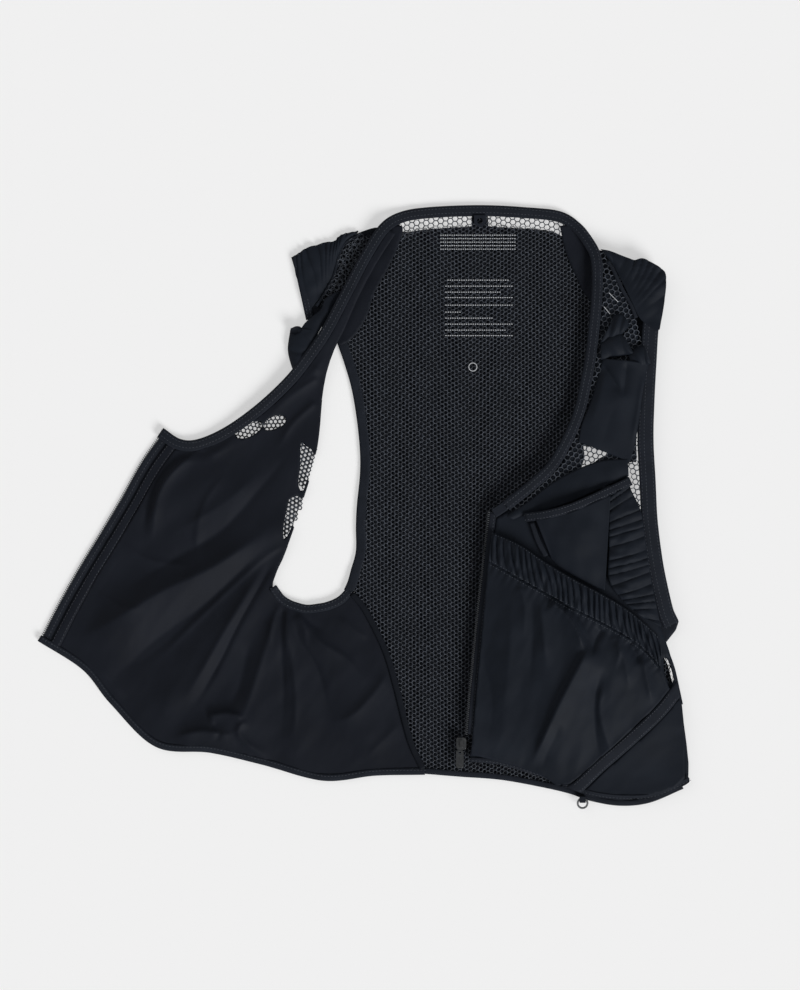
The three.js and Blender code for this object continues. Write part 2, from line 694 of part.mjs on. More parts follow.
const rollSections = [
  { at: [39.6, 79.3], wide: 7.6, tall: 6.6 },
  { at: [39.5, 77.6], wide: 7.4, tall: 5.6 },
  { at: [39.4, 75.2], wide: 8.4, tall: 4.6 },
  { at: [39.8, 72.7], wide: 8, tall: 3.9 },
];
add("left_sleeve_roll", softTube(rollSections, 12), pocketCloth);
const flapOuter = smoothLine([
  [45.5, 84.9, 0.46], [44.0, 83.4, 0.5], [41.7, 81.4, 0.46], [40.8, 80.2, 0.42],
]);
const flapInner = smoothLine([
  [45.5, 84.2, 0.46], [44.2, 81.4, 0.46], [42.9, 79.0, 0.46], [42.0, 77.6, 0.42],
]);
const flap = cloth({ lineA: flapOuter, lineB: flapInner, across: 3, under: () => 0 });
add("left_sleeve_flap", flap, pocketCloth);

// Closed right front

const frontTrim = (stretch) => {
  if (stretch <= zipTop * steps) return collarWidth + gap;
  return stretch <= zipFoot * steps ? coilWidth + zipTapeWidth + 2 * gap : 2 * gap;
};
const netStart = 1; // the net starts this many points down, where collar and piping are apart
add(
  "right_front_net",
  cloth({
    lineA: offsetLine(frontInner, frontTrim).slice(netStart),
    lineB: frontOuter.slice(netStart),
    across: frontHem.length - 1,
    wall: netWall,
    under: frontUnder,
    endLine: offsetLine(frontHem, hemWidth + gap),
    endFrom: 0.72,
  }),
  netCloth,
);
add(
  "right_armhole_band",
  cloth({
    lineA: offsetLine(sideBand, -sideBandWidth),
    lineB: sideBand,
    across: 2,
    wall: netWall,
    under: frontUnder,
  }),
  bindingCloth,
);
const rightHemTape = tape({ line: frontHem, width: hemWidth, wall: netWall, under: frontUnder });
add("right_hem_tape", rightHemTape, bindingCloth);

const capSeam = rowsOf(frontOuter, 0, pipingFoot);
const rightPiping = tape({ line: capSeam, near: gap, width: pipingWidth, under: frontUnder, from: 1 });
add("right_cap_piping", rightPiping, bindingCloth);
const rightCapEdge = smoothLine([[87.1, 92.5], [89.0, 91.6], [91.0, 90.8], [92.4, 90.9], [93.2, 89.8]]);
const rightPleats = 14;
add(
  "right_shoulder_cap",
  cloth({
    lineA: evenly(offsetLine(capSeam, pipingWidth + 3 * gap), rightPleats),
    lineB: evenly(rightCapEdge, rightPleats),
    across: 4,
    under: frontUnder,
    pleats: { atA: 0, atB: 1 },
  }),
  pocketCloth,
);

// Zip of the closed front, with its garage at the collar

const garage = tape({
  line: collarLine,
  width: -collarWidth,
  from: wholeCollar - garageLength,
  to: gap,
});
add("zip_garage", garage, bindingCloth);
const closedZip = rowsOf(frontInner, zipTop, zipFoot);
const closedStops = { from: collarWidth + 1, to: 1, under: frontUnder };
const closedCoil = tape({ line: closedZip, width: coilWidth, wall: coilWall, ...closedStops });
add("right_zip_coil", closedCoil, coilPlastic);
const closedTape = tape({
  line: closedZip,
  near: coilWidth + gap,
  width: zipTapeWidth,
  wall: netWall,
  ...closedStops,
});
add("right_zip_tape", closedTape, bindingCloth);

function roundedPlate(wide, long, corner) {
  const [w, l] = [wide / 2, long / 2];
  return new THREE.Shape()
    .moveTo(w, -l + corner)
    .absarc(w - corner, l - corner, corner, 0, Math.PI / 2)
    .absarc(-w + corner, l - corner, corner, Math.PI / 2, Math.PI)
    .absarc(-w + corner, -l + corner, corner, Math.PI, 1.5 * Math.PI)
    .absarc(w - corner, -l + corner, corner, 1.5 * Math.PI, 2 * Math.PI);
}

const sliderPlace = at([64.75, 10.5]);
const sliderLow = frontUnder(sliderPlace) - sliderHeight / 4;
const sliderCut = { depth: sliderPlateWall, bevelEnabled: false, curveSegments: 2 };
const sliderShape = roundedPlate(sliderWidth, sliderLength, sliderWidth / 4);
const plate = (low) => asSolid(new THREE.ExtrudeGeometry(sliderShape, sliderCut).translate(0, 0, low));
const block = (long, low, high, middle) => {
  const box = new THREE.BoxGeometry(bridgeWidth, long, high - low);
  return asSolid(box.translate(0, middle, (low + high) / 2));
};
const halfPlate = sliderPlateWall / 2;
const bridgeLow = sliderHeight + bridgeOpening;
const footMiddle = (bridgeLength - bridgeFoot) / 2;
const sliderSolid = [
  plate(sliderHeight - sliderPlateWall),
  block(sliderLength / 3, halfPlate, sliderHeight - halfPlate, footMiddle),
  block(bridgeFoot, sliderHeight - halfPlate, bridgeLow + bridgeWall, footMiddle),
  block(bridgeFoot, sliderHeight - halfPlate, bridgeLow + bridgeWall, -footMiddle),
  block(bridgeLength, bridgeLow, bridgeLow + bridgeWall, 0),
].reduce((whole, piece) => whole.add(piece), plate(0));
const slider = add("zip_slider", asGeometry(sliderSolid), sliderMetal);
slider.position.set(sliderPlace.x, sliderPlace.y, sliderLow);

const pullShape = roundedPlate(pullWidth, pullLength, pullWidth / 3);
pullShape.holes.push(new THREE.Path().absarc(0, pullLength / 3, pullWidth / 5, 0, 2 * Math.PI));
const pullCut = { depth: pullWall, bevelEnabled: false, curveSegments: 4 };
const pull = add("zip_pull", new THREE.ExtrudeGeometry(pullShape, pullCut), sliderMetal);
const pullDrop = (sliderLength + pullLength) / 2 + gap;
const pullAside = 1;
pull.position.set(sliderPlace.x - pullAside, sliderPlace.y - pullDrop, sliderLow + sliderHeight / 3);

// Flask sleeve on the chest, with the folds at its mouth

const sleeveLeft = smoothLine([[86.4, 73.7], [85.4, 70.0], [84.2, 66.7], [83.0, 63.4], [82.9, 60.9]]);
const sleeveRight = smoothLine([[93.0, 72.9], [92.6, 70.0], [92.0, 66.7], [91.5, 63.4], [90.2, 57.4]]);
const openAtTop = (v) => Math.cos((Math.PI / 2) * v) ** sleeveFullness;
add(
  "right_flask_sleeve",
  cloth({
    lineA: sleeveLeft,
    lineB: sleeveRight,
    across: 6,
    under: onFront,
    dome: sleeveLoft,
    domeAt: openAtTop,
  }),
  pocketCloth,
);
const mouthFolds = [
  {
    name: "right_sleeve_fold_upper",
    lower: [[86.2, 77.2], [87.9, 77.9], [89.4, 78.5]],
    upper: [[88.1, 81.3], [89.3, 81.3], [90.3, 80.5]],
  },
  {
    name: "right_sleeve_fold_lower",
    lower: [[86.2, 74.3], [88.2, 74.8], [90.1, 75.1]],
    upper: [[86.2, 76.7], [88.7, 78.2], [90.6, 76.0]],
  },
  {
    name: "right_sleeve_fold_tip",
    lower: [[90.7, 73.4], [91.8, 73.3], [93.2, 73.6]],
    upper: [[90.9, 75.6], [92.0, 76.2], [93.0, 75.4]],
  },
];
for (const { name, lower, upper } of mouthFolds) {
  const lineA = smoothLine(lower);
  const lineB = smoothLine(upper);
  add(name, cloth({ lineA, lineB, across: 4, under: onFront, dome: foldLoft }), pocketCloth);
}

// Chest pocket: its mouth stands off the front

const inPocket = { loft: pocketLoft };
const mouthLine = smoothLine(
  [[74.4, 48.8, 0.15], [77.6, 49.3, 0.75], [81.4, 50.4, 0.9], [86.0, 52.6, 0.5], [90.2, 54.7, 0.1]],
  inPocket,
);
const mouthBinding = tape({ line: mouthLine, width: -mouthWidth, wall: clothWall, under: onFront });
add("right_chest_binding", mouthBinding, bindingCloth);
const chestTop = between(offsetLine(mouthLine, -(mouthWidth + gap)), 76.4, 86.7);
const chestFoot = smoothLine([[78.4, 41.1], [79.8, 39.8], [82.4, 38.1], [84.7, 36.8], [86.5, 35.9]]);
const chestRows = 8;
add(
  "right_chest_pocket",
  cloth({
    lineA: evenly(chestTop, chestRows),
    lineB: evenly(chestFoot, chestRows),
    across: 6,
    under: onFront,
    dome: pocketLoft / 3,
  }),
  pocketCloth,
);
const chestSide = smoothLine([[75.1, 47.1], [76.0, 44.1], [77.3, 41.4]]);
const chestSideTape = tape({ line: chestSide, width: pocketSideWidth, wall: clothWall, under: onFront });
add("right_chest_side_binding", chestSideTape, bindingCloth);

// Gathered gusset between the chest pocket and the side band
const gussetLeft = smoothLine([
  [87.2, 51.2], [87.2, 47.6], [87.1, 42.6], [87.2, 37.8], [89.0, 35.0], [91.6, 32.6],
]);
const gussetRight = smoothLine([
  [90.3, 52.7], [92.0, 48.9], [92.8, 43.4], [93.6, 37.9], [94.4, 33.6], [94.8, 31.4],
]);
const gussetPleats = 28;
add(
  "right_side_gusset",
  cloth({
    lineA: evenly(gussetLeft, gussetPleats),
    lineB: evenly(gussetRight, gussetPleats),
    across: 3,
    under: onFront,
    pleats: { atA: 1, atB: 0.4 },
  }),
  pocketCloth,
);

// Large front pocket with its gathered elastic mouth

const rucheTop = smoothLine(
  [[69.5, 45.2, 0.3], [73.7, 43.2, 0.85], [77.6, 40.3, 0.95], [81.4, 37.7, 0.9], [86.0, 35.1, 0.75],
    [89.8, 32.7, 0.55], [92.8, 30.1, 0.3], [95.0, 27.8, 0.1]],
  inPocket,
);
const rucheFoot = smoothLine(
  [[68.9, 41.0, 0.3], [73.4, 38.1, 0.75], [77.6, 35.6, 0.8], [81.4, 33.3, 0.8], [86.0, 30.8, 0.65],
    [89.8, 28.5, 0.45], [92.8, 26.0, 0.25], [95.1, 23.2, 0.1]],
  inPocket,
);
const ruchePleats = 52;
add(
  "right_pocket_ruche",
  cloth({
    lineA: evenly(rucheTop, ruchePleats),
    lineB: evenly(rucheFoot, ruchePleats),
    across: 2,
    under: onFront,
    pleats: { atA: 1, atB: 1 },
  }),
  pocketCloth,
);

const diagonal = smoothLine([
  [80.3, 2.0], [82.6, 3.3], [86.0, 6.8], [90.5, 11.3], [95.1, 16.0], [98.2, 20.2],
]);
const diagonalBinding = tape({
  line: diagonal,
  near: -diagonalWidth / 2,
  width: diagonalWidth,
  under: onFront,
});
add("right_diagonal_binding", diagonalBinding, bindingCloth);
const pocketFoot = [
  ...smoothLine([[66.2, 8.7], [69.2, 7.9], [73.7, 6.5], [77.4, 5.0]]),
  ...between(offsetLine(diagonal, diagonalWidth / 2 + gap), 79.5, 96.5),
];
const pocketRows = 16;
const pocketFolds = [
  { from: [76.5, 33], to: [77.5, 24], high: 0.35, wide: 0.8 },
  { from: [79.5, 33], to: [83.5, 26], high: 0.6, wide: 0.6 },
  { from: [85, 27], to: [76, 11], high: 0.6, wide: 0.9 },
  { from: [87, 22], to: [87.5, 9], high: 0.4, wide: 0.9 },
  { from: [91, 25], to: [93, 18], high: 0.4, wide: 0.7 },
];
add(
  "right_front_pocket",
  cloth({
    lineA: evenly(offsetLine(rucheFoot, -2 * gap), pocketRows),
    lineB: evenly(pocketFoot, pocketRows),
    across: 8,
    under: onFront,
    dome: pocketLoft / 2,
    folds: pocketFolds,
  }),
  pocketCloth,
);
const panelInner = between(offsetLine(diagonal, -(diagonalWidth / 2 + gap)), 83.6, 98.0);
const panelOuter = smoothLine(
  [[84.2, 2.2], [89.0, 1.5], [94.4, 1.9], [98.9, 4.0], [98.9, 8.0], [98.8, 12.6], [98.4, 17.0]],
  { corners: [3] },
);
const panelRows = 12;
add(
  "right_side_panel",
  cloth({
    lineA: evenly(panelInner, panelRows),
    lineB: evenly(panelOuter, panelRows),
    across: 4,
    under: (p) => onFront(p) + gap,
  }),
  shellCloth,
);

// Ring in its tab at the hem

const ringPlace = at([83.3, 0.5]);
const ring = add("key_ring", new THREE.TorusGeometry(ringRadius, ringWire, 6, 16), ringMetal);
const tabHole = { long: 4 * ringWire, tall: 2.8 * ringWire };
const tabOut = clothWall * 0.75;
const ringUp = hemWall + gap + tabOut + tabHole.tall / 2;
ring.position.set(ringPlace.x, ringPlace.y, ringUp);
const tabShape = roundedPlate(tabHole.long + 2 * tabOut, tabHole.tall + 2 * tabOut, tabOut);
tabShape.holes.push(new THREE.Path(roundedPlate(tabHole.long, tabHole.tall, tabOut / 2).getPoints(2)));
const tab = add(
  "ring_tab",
  new THREE.ExtrudeGeometry(tabShape, { depth: tabWidth, bevelEnabled: false, curveSegments: 2 }),
  bindingCloth,
);
tab.rotation.set(Math.PI / 2, Math.PI / 2, 0);
tab.position.set(ringPlace.x - tabWidth / 2, ringPlace.y + ringRadius - ringWire, ringUp);

// The origin goes under the middle of the vest.
const whole = new THREE.Box3().setFromObject(vest);
vest.position.set(-(whole.min.x + whole.max.x) / 2, -(whole.min.y + whole.max.y) / 2, -whole.min.z);

export default vest;
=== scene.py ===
import math

import bmesh
import bpy
import numpy as np
from mathutils import Matrix, Vector, noise
from mathutils.bvhtree import BVHTree


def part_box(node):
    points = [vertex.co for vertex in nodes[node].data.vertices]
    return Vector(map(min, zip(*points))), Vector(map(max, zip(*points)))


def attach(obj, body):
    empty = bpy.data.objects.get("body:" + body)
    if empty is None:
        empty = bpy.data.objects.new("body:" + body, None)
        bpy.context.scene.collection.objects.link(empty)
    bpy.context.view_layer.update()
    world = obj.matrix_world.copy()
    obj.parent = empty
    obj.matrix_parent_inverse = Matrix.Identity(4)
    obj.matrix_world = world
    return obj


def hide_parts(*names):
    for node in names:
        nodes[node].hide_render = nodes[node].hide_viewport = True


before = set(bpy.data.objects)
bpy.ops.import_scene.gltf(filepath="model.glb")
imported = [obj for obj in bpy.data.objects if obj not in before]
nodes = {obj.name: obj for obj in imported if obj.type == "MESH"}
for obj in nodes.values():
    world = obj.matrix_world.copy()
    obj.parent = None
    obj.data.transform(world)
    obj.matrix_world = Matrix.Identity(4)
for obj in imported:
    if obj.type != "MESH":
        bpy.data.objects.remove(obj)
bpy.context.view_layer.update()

# A running hydration vest lying on its back, its left front opened out to the side.
# Metres, +Z up from the floor. Places in the tables are read off the picture, which is
# 800 wide and 990 high, and spot turns them into metres. Heights and widths are in mm.

scene = bpy.context.scene
mm = 0.001
picture = {"left": 37, "spread": 655, "foot": 806, "length": 601}
vest = {"spread": 0.491, "length": 0.451, "asideX": 0.0005, "asideY": 0.0011225}


def spot(px, py):
    across = ((px - picture["left"]) / picture["spread"] - 0.5) * vest["spread"] + vest["asideX"]
    along = ((picture["foot"] - py) / picture["length"] - 0.5) * vest["length"] + vest["asideY"]
    return np.array((across, along))


def resample(line, gap=None, count=None):
    reach = np.r_[0, np.cumsum(np.linalg.norm(np.diff(line, axis=0), axis=1))]
    count = count or max(2, round(reach[-1] / gap))
    stops = np.linspace(0, reach[-1], count + 1)
    return np.column_stack([np.interp(stops, reach, line[:, k]) for k in range(line.shape[1])])


# a smooth line through places in the picture, sharp at the numbered corners
def smoothLine(places, corners=(), gap=1.5 * mm):
    points = np.array([spot(*place[:2]) for place in places])
    stops = [0, *corners, len(points) - 1]
    run = [points[0]]
    for first, last in zip(stops, stops[1:]):
        part = points[first:last + 1]
        part = np.vstack([2 * part[0] - part[1], part, 2 * part[-1] - part[-2]])
        for i in range(len(part) - 3):
            a, b, c, d = part[i:i + 4]
            for t in np.linspace(0, 1, 13)[1:]:
                run.append(0.5 * (2 * b + (c - a) * t + (2 * a - 5 * b + 4 * c - d) * t * t
                                  + (3 * b - a - 3 * c + d) * t ** 3))
    return resample(np.array(run), gap)


def closedLine(places, corners=()):
    return smoothLine(places + places[:1], corners)[:-1]


def placesOf(verts):
    return np.array([v.co.xy[:] for v in verts])


def leftNormals(line):
    way = np.gradient(line, axis=0)
    way /= np.linalg.norm(way, axis=1)[:, None] + 1e-12
    return np.column_stack([-way[:, 1], way[:, 0]])


def beside(line, far):
    return line + leftNormals(line) * far


def insideOf(points, outline):
    within = np.zeros(len(points), bool)
    x, y = points[:, 0], points[:, 1]
    for (ax, ay), (bx, by) in zip(outline, np.roll(outline, -1, axis=0)):
        if ay == by:
            continue
        within ^= ((ay > y) != (by > y)) & (x < (bx - ax) * (y - ay) / (by - ay) + ax)
    return within


# distance to a line, the nearest place on it, how far along that is and on which side
def nearestOn(points, line):
    near = np.full(len(points), 1e9)
    foot = np.zeros((len(points), 2))
    along, side = np.zeros(len(points)), np.ones(len(points))
    done = 0.0
    for a, b in zip(line, line[1:]):
        stretch = b - a
        length = np.linalg.norm(stretch)
        if length < 1e-9:
            continue
        offset = points - a
        t = np.clip(offset @ stretch / length ** 2, 0, 1)
        place = a + t[:, None] * stretch
        away = np.linalg.norm(points - place, axis=1)
        closer = away < near
        near[closer], foot[closer] = away[closer], place[closer]
        along[closer] = done + t[closer] * length
        side[closer] = np.sign(stretch[0] * offset[closer, 1] - stretch[1] * offset[closer, 0])
        done += length
    return near, foot, along / done, side


# the outer edge of a CAD node's upper faces
def outlineOf(name):
    bm = bmesh.new()
    bm.from_mesh(nodes[name].data)
    bmesh.ops.remove_doubles(bm, verts=bm.verts, dist=1e-5)
    bmesh.ops.delete(bm, geom=[f for f in bm.faces if f.normal.z < 0.2], context="FACES")
    edges = {e for e in bm.edges if e.is_boundary}
    loops = []
    while edges:
        edge = edges.pop()
        start, here = edge.verts
        loop = [start, here]
        while here != start:
            onward = [e for e in here.link_edges if e in edges]
            if not onward:
                break
            edges.remove(onward[0])
            here = onward[0].other_vert(here)
            loop.append(here)
        loops.append(placesOf(loop[:-1]))
    bm.free()
    return max(loops, key=lambda loop: np.ptp(loop, axis=0).sum())


# height of the CAD nodes' upper side at each place
def topOf(*names):
    bm = bmesh.new()
    for name in names:
        bm.from_mesh(nodes[name].data)
    tree = BVHTree.FromBMesh(bm)
    bm.free()

    def height(points):
        heights = []
        for x, y in points:
            place = tree.ray_cast(Vector((x, y, 1)), Vector((0, 0, -1)))[0]
            if place is None:
                place = tree.find_nearest(Vector((x, y, 0.02)))[0]
            heights.append(place.z)
        return np.array(heights)
    return height


def levelAt(height):
    return lambda points: np.full(len(points), height * mm)


# Folds. Each has its path, its height and its widths to the left and right of the path;
# fade is the share of its length over which it rises and falls at its two ends.
def foldRise(points, folds):
    rise = np.zeros(len(points))
    for path, high, left, right, *fade in folds:
        line = smoothLine(path, gap=4 * mm)
        away, _, along, side = nearestOn(points, line)
        wide = np.where(side > 0, left, right) * mm
        start, end = fade or (0.25, 0.35)
        keep = np.ones(len(points))
        if start:
            keep *= np.clip(along / start, 0, 1)
        if end:
            keep *= np.clip((1 - along) / end, 0, 1)
        rise += high * mm * np.exp(-(away / wide) ** 1.2) * keep * keep * (3 - 2 * keep)
    return rise


# soft unevenness, drawn out along a direction in degrees
def unevenness(points, size, high, seed=0, turn=0, stretch=1):
    c, s = math.cos(math.radians(turn)), math.sin(math.radians(turn))
    u = (points[:, 0] * c + points[:, 1] * s) / (size * mm * stretch)
    v = (points[:, 1] * c - points[:, 0] * s) / (size * mm)
    return np.array([noise.noise(Vector((a, b, seed * 7.3))) for a, b in zip(u, v)]) * high * mm


def pleats(turns, sharp):
    return np.abs(np.sin(math.pi * turns)) ** sharp


# Finished pieces

def finishPiece(name, bm, material, slot, hides=(), thick=0.0, upright=True):
    if upright and sum(f.normal.z for f in bm.faces) < 0:
        bmesh.ops.reverse_faces(bm, faces=bm.faces)
    for face in bm.faces:
        face.smooth = True
    mesh = bpy.data.meshes.new(name)
    bm.to_mesh(mesh)
    bm.free()
    piece = bpy.data.objects.new(name, mesh)
    scene.collection.objects.link(piece)
    mesh.materials.append(material)
    if thick:
        wall = piece.modifiers.new("wall", "SOLIDIFY")
        wall.thickness = thick * mm
        wall.offset = -1
    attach(piece, "root")
    if hides:
        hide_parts(*hides)
    return piece


# passes a finished piece on unchanged. A comparison with the mesh shows nothing about the
# cut.
def sheet(piece):
    return piece


# moves the vertices to new heights; shape is given all their places at once
def setHeights(bm, shape):
    points = placesOf(bm.verts)
    for vert, height in zip(bm.verts, shape(points)):
        vert.co.z = height


def drawEdgeTo(bm, outline, reach):
    verts = [v for v in bm.verts if v.is_boundary]
    closed = np.vstack([outline, outline[:1]])
    near, foot, _, _ = nearestOn(placesOf(verts), closed)
    for vert, far, place in zip(verts, near, foot):
        if far < reach:
            vert.co.x, vert.co.y = place


def cutTo(bm, outline, cell, keepInside=True):
    faces = list(bm.faces)
    within = insideOf(np.array([f.calc_center_median().xy[:] for f in faces]), outline)
    gone = [face for face, inside in zip(faces, within) if inside != keepInside]
    bmesh.ops.delete(bm, geom=gone, context="FACES")
    drawEdgeTo(bm, outline, 1.3 * cell)


# draws in what reaches past an outline
def drawInside(bm, outline):
    verts = list(bm.verts)
    points = placesOf(verts)
    _, foot, _, _ = nearestOn(points, np.vstack([outline, outline[:1]]))
    for vert, inside, place in zip(verts, insideOf(points, outline), foot):
        if not inside:
            vert.co.x, vert.co.y = place


# a fine grid cut to an outline, with windows cut out of it
def clothGrid(outline, cell, windows=()):
    low, high = outline.min(axis=0), outline.max(axis=0)
    size = high - low
    bm = bmesh.new()
    bmesh.ops.create_grid(bm, x_segments=int(size[0] / cell) + 1, y_segments=int(size[1] / cell) + 1, size=0.5)
    bmesh.ops.scale(bm, vec=(size[0], size[1], 1), verts=bm.verts)
    bmesh.ops.translate(bm, vec=(*((low + high) / 2), 0), verts=bm.verts)
    cutTo(bm, outline, cell)
    for window in windows:
        cutTo(bm, window, cell, keepInside=False)
    return bm


def blurHeights(bm, times):
    for _ in range(times):
        bmesh.ops.smooth_vert(bm, verts=bm.verts, factor=0.5, use_axis_z=True)


# a grid bent between two lines; its UV map is in metres, u from A to B and v along them
def ruledGrid(lineA, lineB, rows, across):
    a, b = resample(lineA, count=rows), resample(lineB, count=rows)
    bm = bmesh.new()
    uv = bm.loops.layers.uv.new("UVMap")
    bmesh.ops.create_grid(bm, x_segments=across, y_segments=rows, size=0.5, calc_uvs=True)
    wide = np.linalg.norm(b - a, axis=1).mean()
    long = np.linalg.norm(np.diff((a + b) / 2, axis=0), axis=1).sum()
    stops = np.arange(rows + 1)
    for vert in bm.verts:
        u, v = vert.co.x + 0.5, (vert.co.y + 0.5) * rows
        place = [np.interp(v, stops, a[:, k] * (1 - u) + b[:, k] * u) for k in (0, 1)]
        vert.co = (*place, 0)
    for face in bm.faces:
        for loop in face.loops:
            loop[uv].uv.x *= wide
            loop[uv].uv.y *= long
    return bm


# heights of a ruled grid; shape is given the places and u and v from 0 to 1
def setRuledHeights(bm, shape):
    uv = bm.loops.layers.uv["UVMap"]
    share = {}
    for face in bm.faces:
        for loop in face.loops:
            share[loop.vert] = loop[uv].uv[:]
    verts = list(bm.verts)
    uvs = np.array([share[v] for v in verts])
    uvs /= uvs.max(axis=0)
    points = placesOf(verts)
    for vert, height in zip(verts, shape(points, uvs[:, 0], uvs[:, 1])):
        vert.co.z = height


# tape or binding beside a line, a little crowned, its edges turned down
def strip(name, line, near, wide, ground, material, slot, hides=(), thick=0.6, crown=0.5, gap=1.6 * mm,
          across=6, lift=0.1, within=None):
    bm = ruledGrid(beside(line, near * mm), beside(line, (near + wide) * mm),
                   max(3, round(np.linalg.norm(np.diff(line, axis=0), axis=1).sum() / gap)), across)
    setRuledHeights(bm, lambda points, u, v: ground(points) + lift * mm)
    blurHeights(bm, 6)
    base = {v: v.co.z for v in bm.verts}
    if within is not None:
        drawInside(bm, within)

    def crowned(points, u, v):
        low = np.array([base[vert] for vert in bm.verts])
        return low + crown * mm * (1 - np.abs(2 * u - 1) ** 4) + unevenness(points, 6, 0.2, 31)
    setRuledHeights(bm, crowned)
    return finishPiece(name, bm, material, slot, hides, thick)


# a binding or tape on the CAD nodes named; it stands for the first of them
def tapeOn(name, line, near, wide, node, *others, **look):
    return strip(name, line, near, wide, topOf(node, *others), bindingKnit, "binding", [node], **look)


# a piece of cloth in an outline read off the picture
def patch(name, places, ground, material, slot, hides=(), cell=1.8, thick=0.4, uneven=0.3, corners=()):
    bm = clothGrid(closedLine(places, corners), cell * mm)
    setHeights(bm, lambda points: ground(points) + unevenness(points, 12, uneven, 40))
    return sheet(finishPiece(name, bm, material, slot, hides, thick))


# Net: six-sided openings with thin strands between them. lean tilts the rows to each side of a middle line.
def hexNet(outline, opening, strand, height, deep=0.25, windows=(), lean=0.0, middle=0.0, turn=0.0, aside=(0, 0)):
    edge = opening * mm / 3 ** 0.5
    rise = edge * 3 ** 0.5 / 2
    low, high = outline.min(axis=0) - 4 * edge, outline.max(axis=0) + 4 * edge
    columns, rows = int((high[0] - low[0]) / edge) + 3, int((high[1] - low[1]) / rise) + 3
    bm = bmesh.new()
    bmesh.ops.create_grid(bm, x_segments=columns, y_segments=rows, size=0.5)
    hubs = []
    for vert in bm.verts:
        i, j = round((vert.co.x + 0.5) * columns), round((vert.co.y + 0.5) * rows)
        vert.co.x, vert.co.y = (i + 0.5 * (j % 2)) * edge, j * rise
        if (i - j // 2 - j) % 3 == 0:
            hubs.append(vert)
    bmesh.ops.triangulate(bm, faces=bm.faces, quad_method="SHORT_EDGE")
    bmesh.ops.dissolve_verts(bm, verts=hubs)  # the six triangles round a hub become one opening
    centre = (low + high) / 2
    bmesh.ops.translate(bm, vec=(*(low - centre), 0), verts=bm.verts)
    bmesh.ops.rotate(bm, matrix=Matrix.Rotation(math.radians(turn), 3, "Z"), verts=bm.verts)
    bmesh.ops.translate(bm, vec=(*(centre + np.array(aside) * mm), 0), verts=bm.verts)
    for vert in bm.verts:
        vert.co.y += lean * abs(vert.co.x - middle)
    faces = list(bm.faces)
    centres = np.array([f.calc_center_median().xy[:] for f in faces])
    kept = insideOf(centres, outline) & np.array([len(f.verts) == 6 for f in faces])
    for window in windows:
        kept &= ~insideOf(centres, window)
    bmesh.ops.delete(bm, geom=[f for f, keep in zip(faces, kept) if not keep], context="FACES")
    openings = list(bm.faces)
    bmesh.ops.inset_individual(bm, faces=openings, thickness=strand * mm / 2, use_even_offset=True)
    inner = {v for f in openings for v in f.verts}
    bmesh.ops.delete(bm, geom=openings, context="FACES")
    points = placesOf(bm.verts)
    for vert, level in zip(bm.verts, height(points)):
        vert.co.z = level - (deep * mm if vert in inner else 0)
    return bm


# Stitches: small rounded threads in a row along a line
def stitchRow(bm, line, height, spacing=2.4, long=1.5, wide=0.34, tall=0.22, turn=0.0, segments=(6, 4)):
    places = resample(line, gap=spacing * mm)
    ways = np.gradient(places, axis=0)
    heights = height(places)
    for (x, y), (wx, wy), z in zip(places, ways, heights):
        spin = Matrix.Rotation(math.atan2(wy, wx) + math.radians(turn), 4, "Z")
        size = Matrix.Diagonal((long / 2 * mm, wide / 2 * mm, tall / 2 * mm, 1))
        bmesh.ops.create_uvsphere(bm, u_segments=segments[0], v_segments=segments[1], radius=1,
                                  matrix=Matrix.Translation((x, y, z)) @ spin @ size)


def stitches(name, rows, height, **look):
    bm = bmesh.new()
    for line in rows:
        stitchRow(bm, line, height, **look)
    return finishPiece(name, bm, threadBlack, "binding", upright=False)


# Materials

def newGroup(name, inputs, outputs):
    group = bpy.data.node_groups.new(name, "ShaderNodeTree")
    for title, kind, value in inputs:
        socket = group.interface.new_socket(name=title, in_out="INPUT", socket_type=kind)
        if value is not None:
            socket.default_value = value
    for title, kind in outputs:
        group.interface.new_socket(name=title, in_out="OUTPUT", socket_type=kind)
    return group, group.nodes.new("NodeGroupInput"), group.nodes.new("NodeGroupOutput")


def mathNode(tree, operation, *values):
    node = tree.nodes.new("ShaderNodeMath")
    node.operation = operation
    for i, value in enumerate(values):
        if isinstance(value, (int, float)):
            node.inputs[i].default_value = value
        else:
            tree.links.new(value, node.inputs[i])
    return node.outputs[0]


def newMaterial(name):
    material = bpy.data.materials.new(name)
    material.use_nodes = True
    return material, material.node_tree, material.node_tree.nodes["Principled BSDF"]


# two tones, uneven roughness, its spread down and up, and a relief in mm
def shade(tree, shader, look, tone, uneven, height, spread, strength, relief):
    mix = tree.nodes.new("ShaderNodeMix")
    mix.data_type = "RGBA"
    mix.inputs["A"].default_value = (*look["dark"], 1)
    mix.inputs["B"].default_value = (*look["light"], 1)
    tree.links.new(tone, mix.inputs["Factor"])
    tree.links.new(mix.outputs["Result"], shader.inputs["Base Color"])
    rough = tree.nodes.new("ShaderNodeMapRange")
    rough.inputs["To Min"].default_value = look["rough"] - spread[0]
    rough.inputs["To Max"].default_value = look["rough"] + spread[1]
    tree.links.new(uneven, rough.inputs["Value"])
    tree.links.new(rough.outputs["Result"], shader.inputs["Roughness"])
    bump = tree.nodes.new("ShaderNodeBump")
    bump.inputs["Strength"].default_value = strength
    bump.inputs["Distance"].default_value = relief * mm
    tree.links.new(height, bump.inputs["Height"])
    tree.links.new(bump.outputs["Normal"], shader.inputs["Normal"])


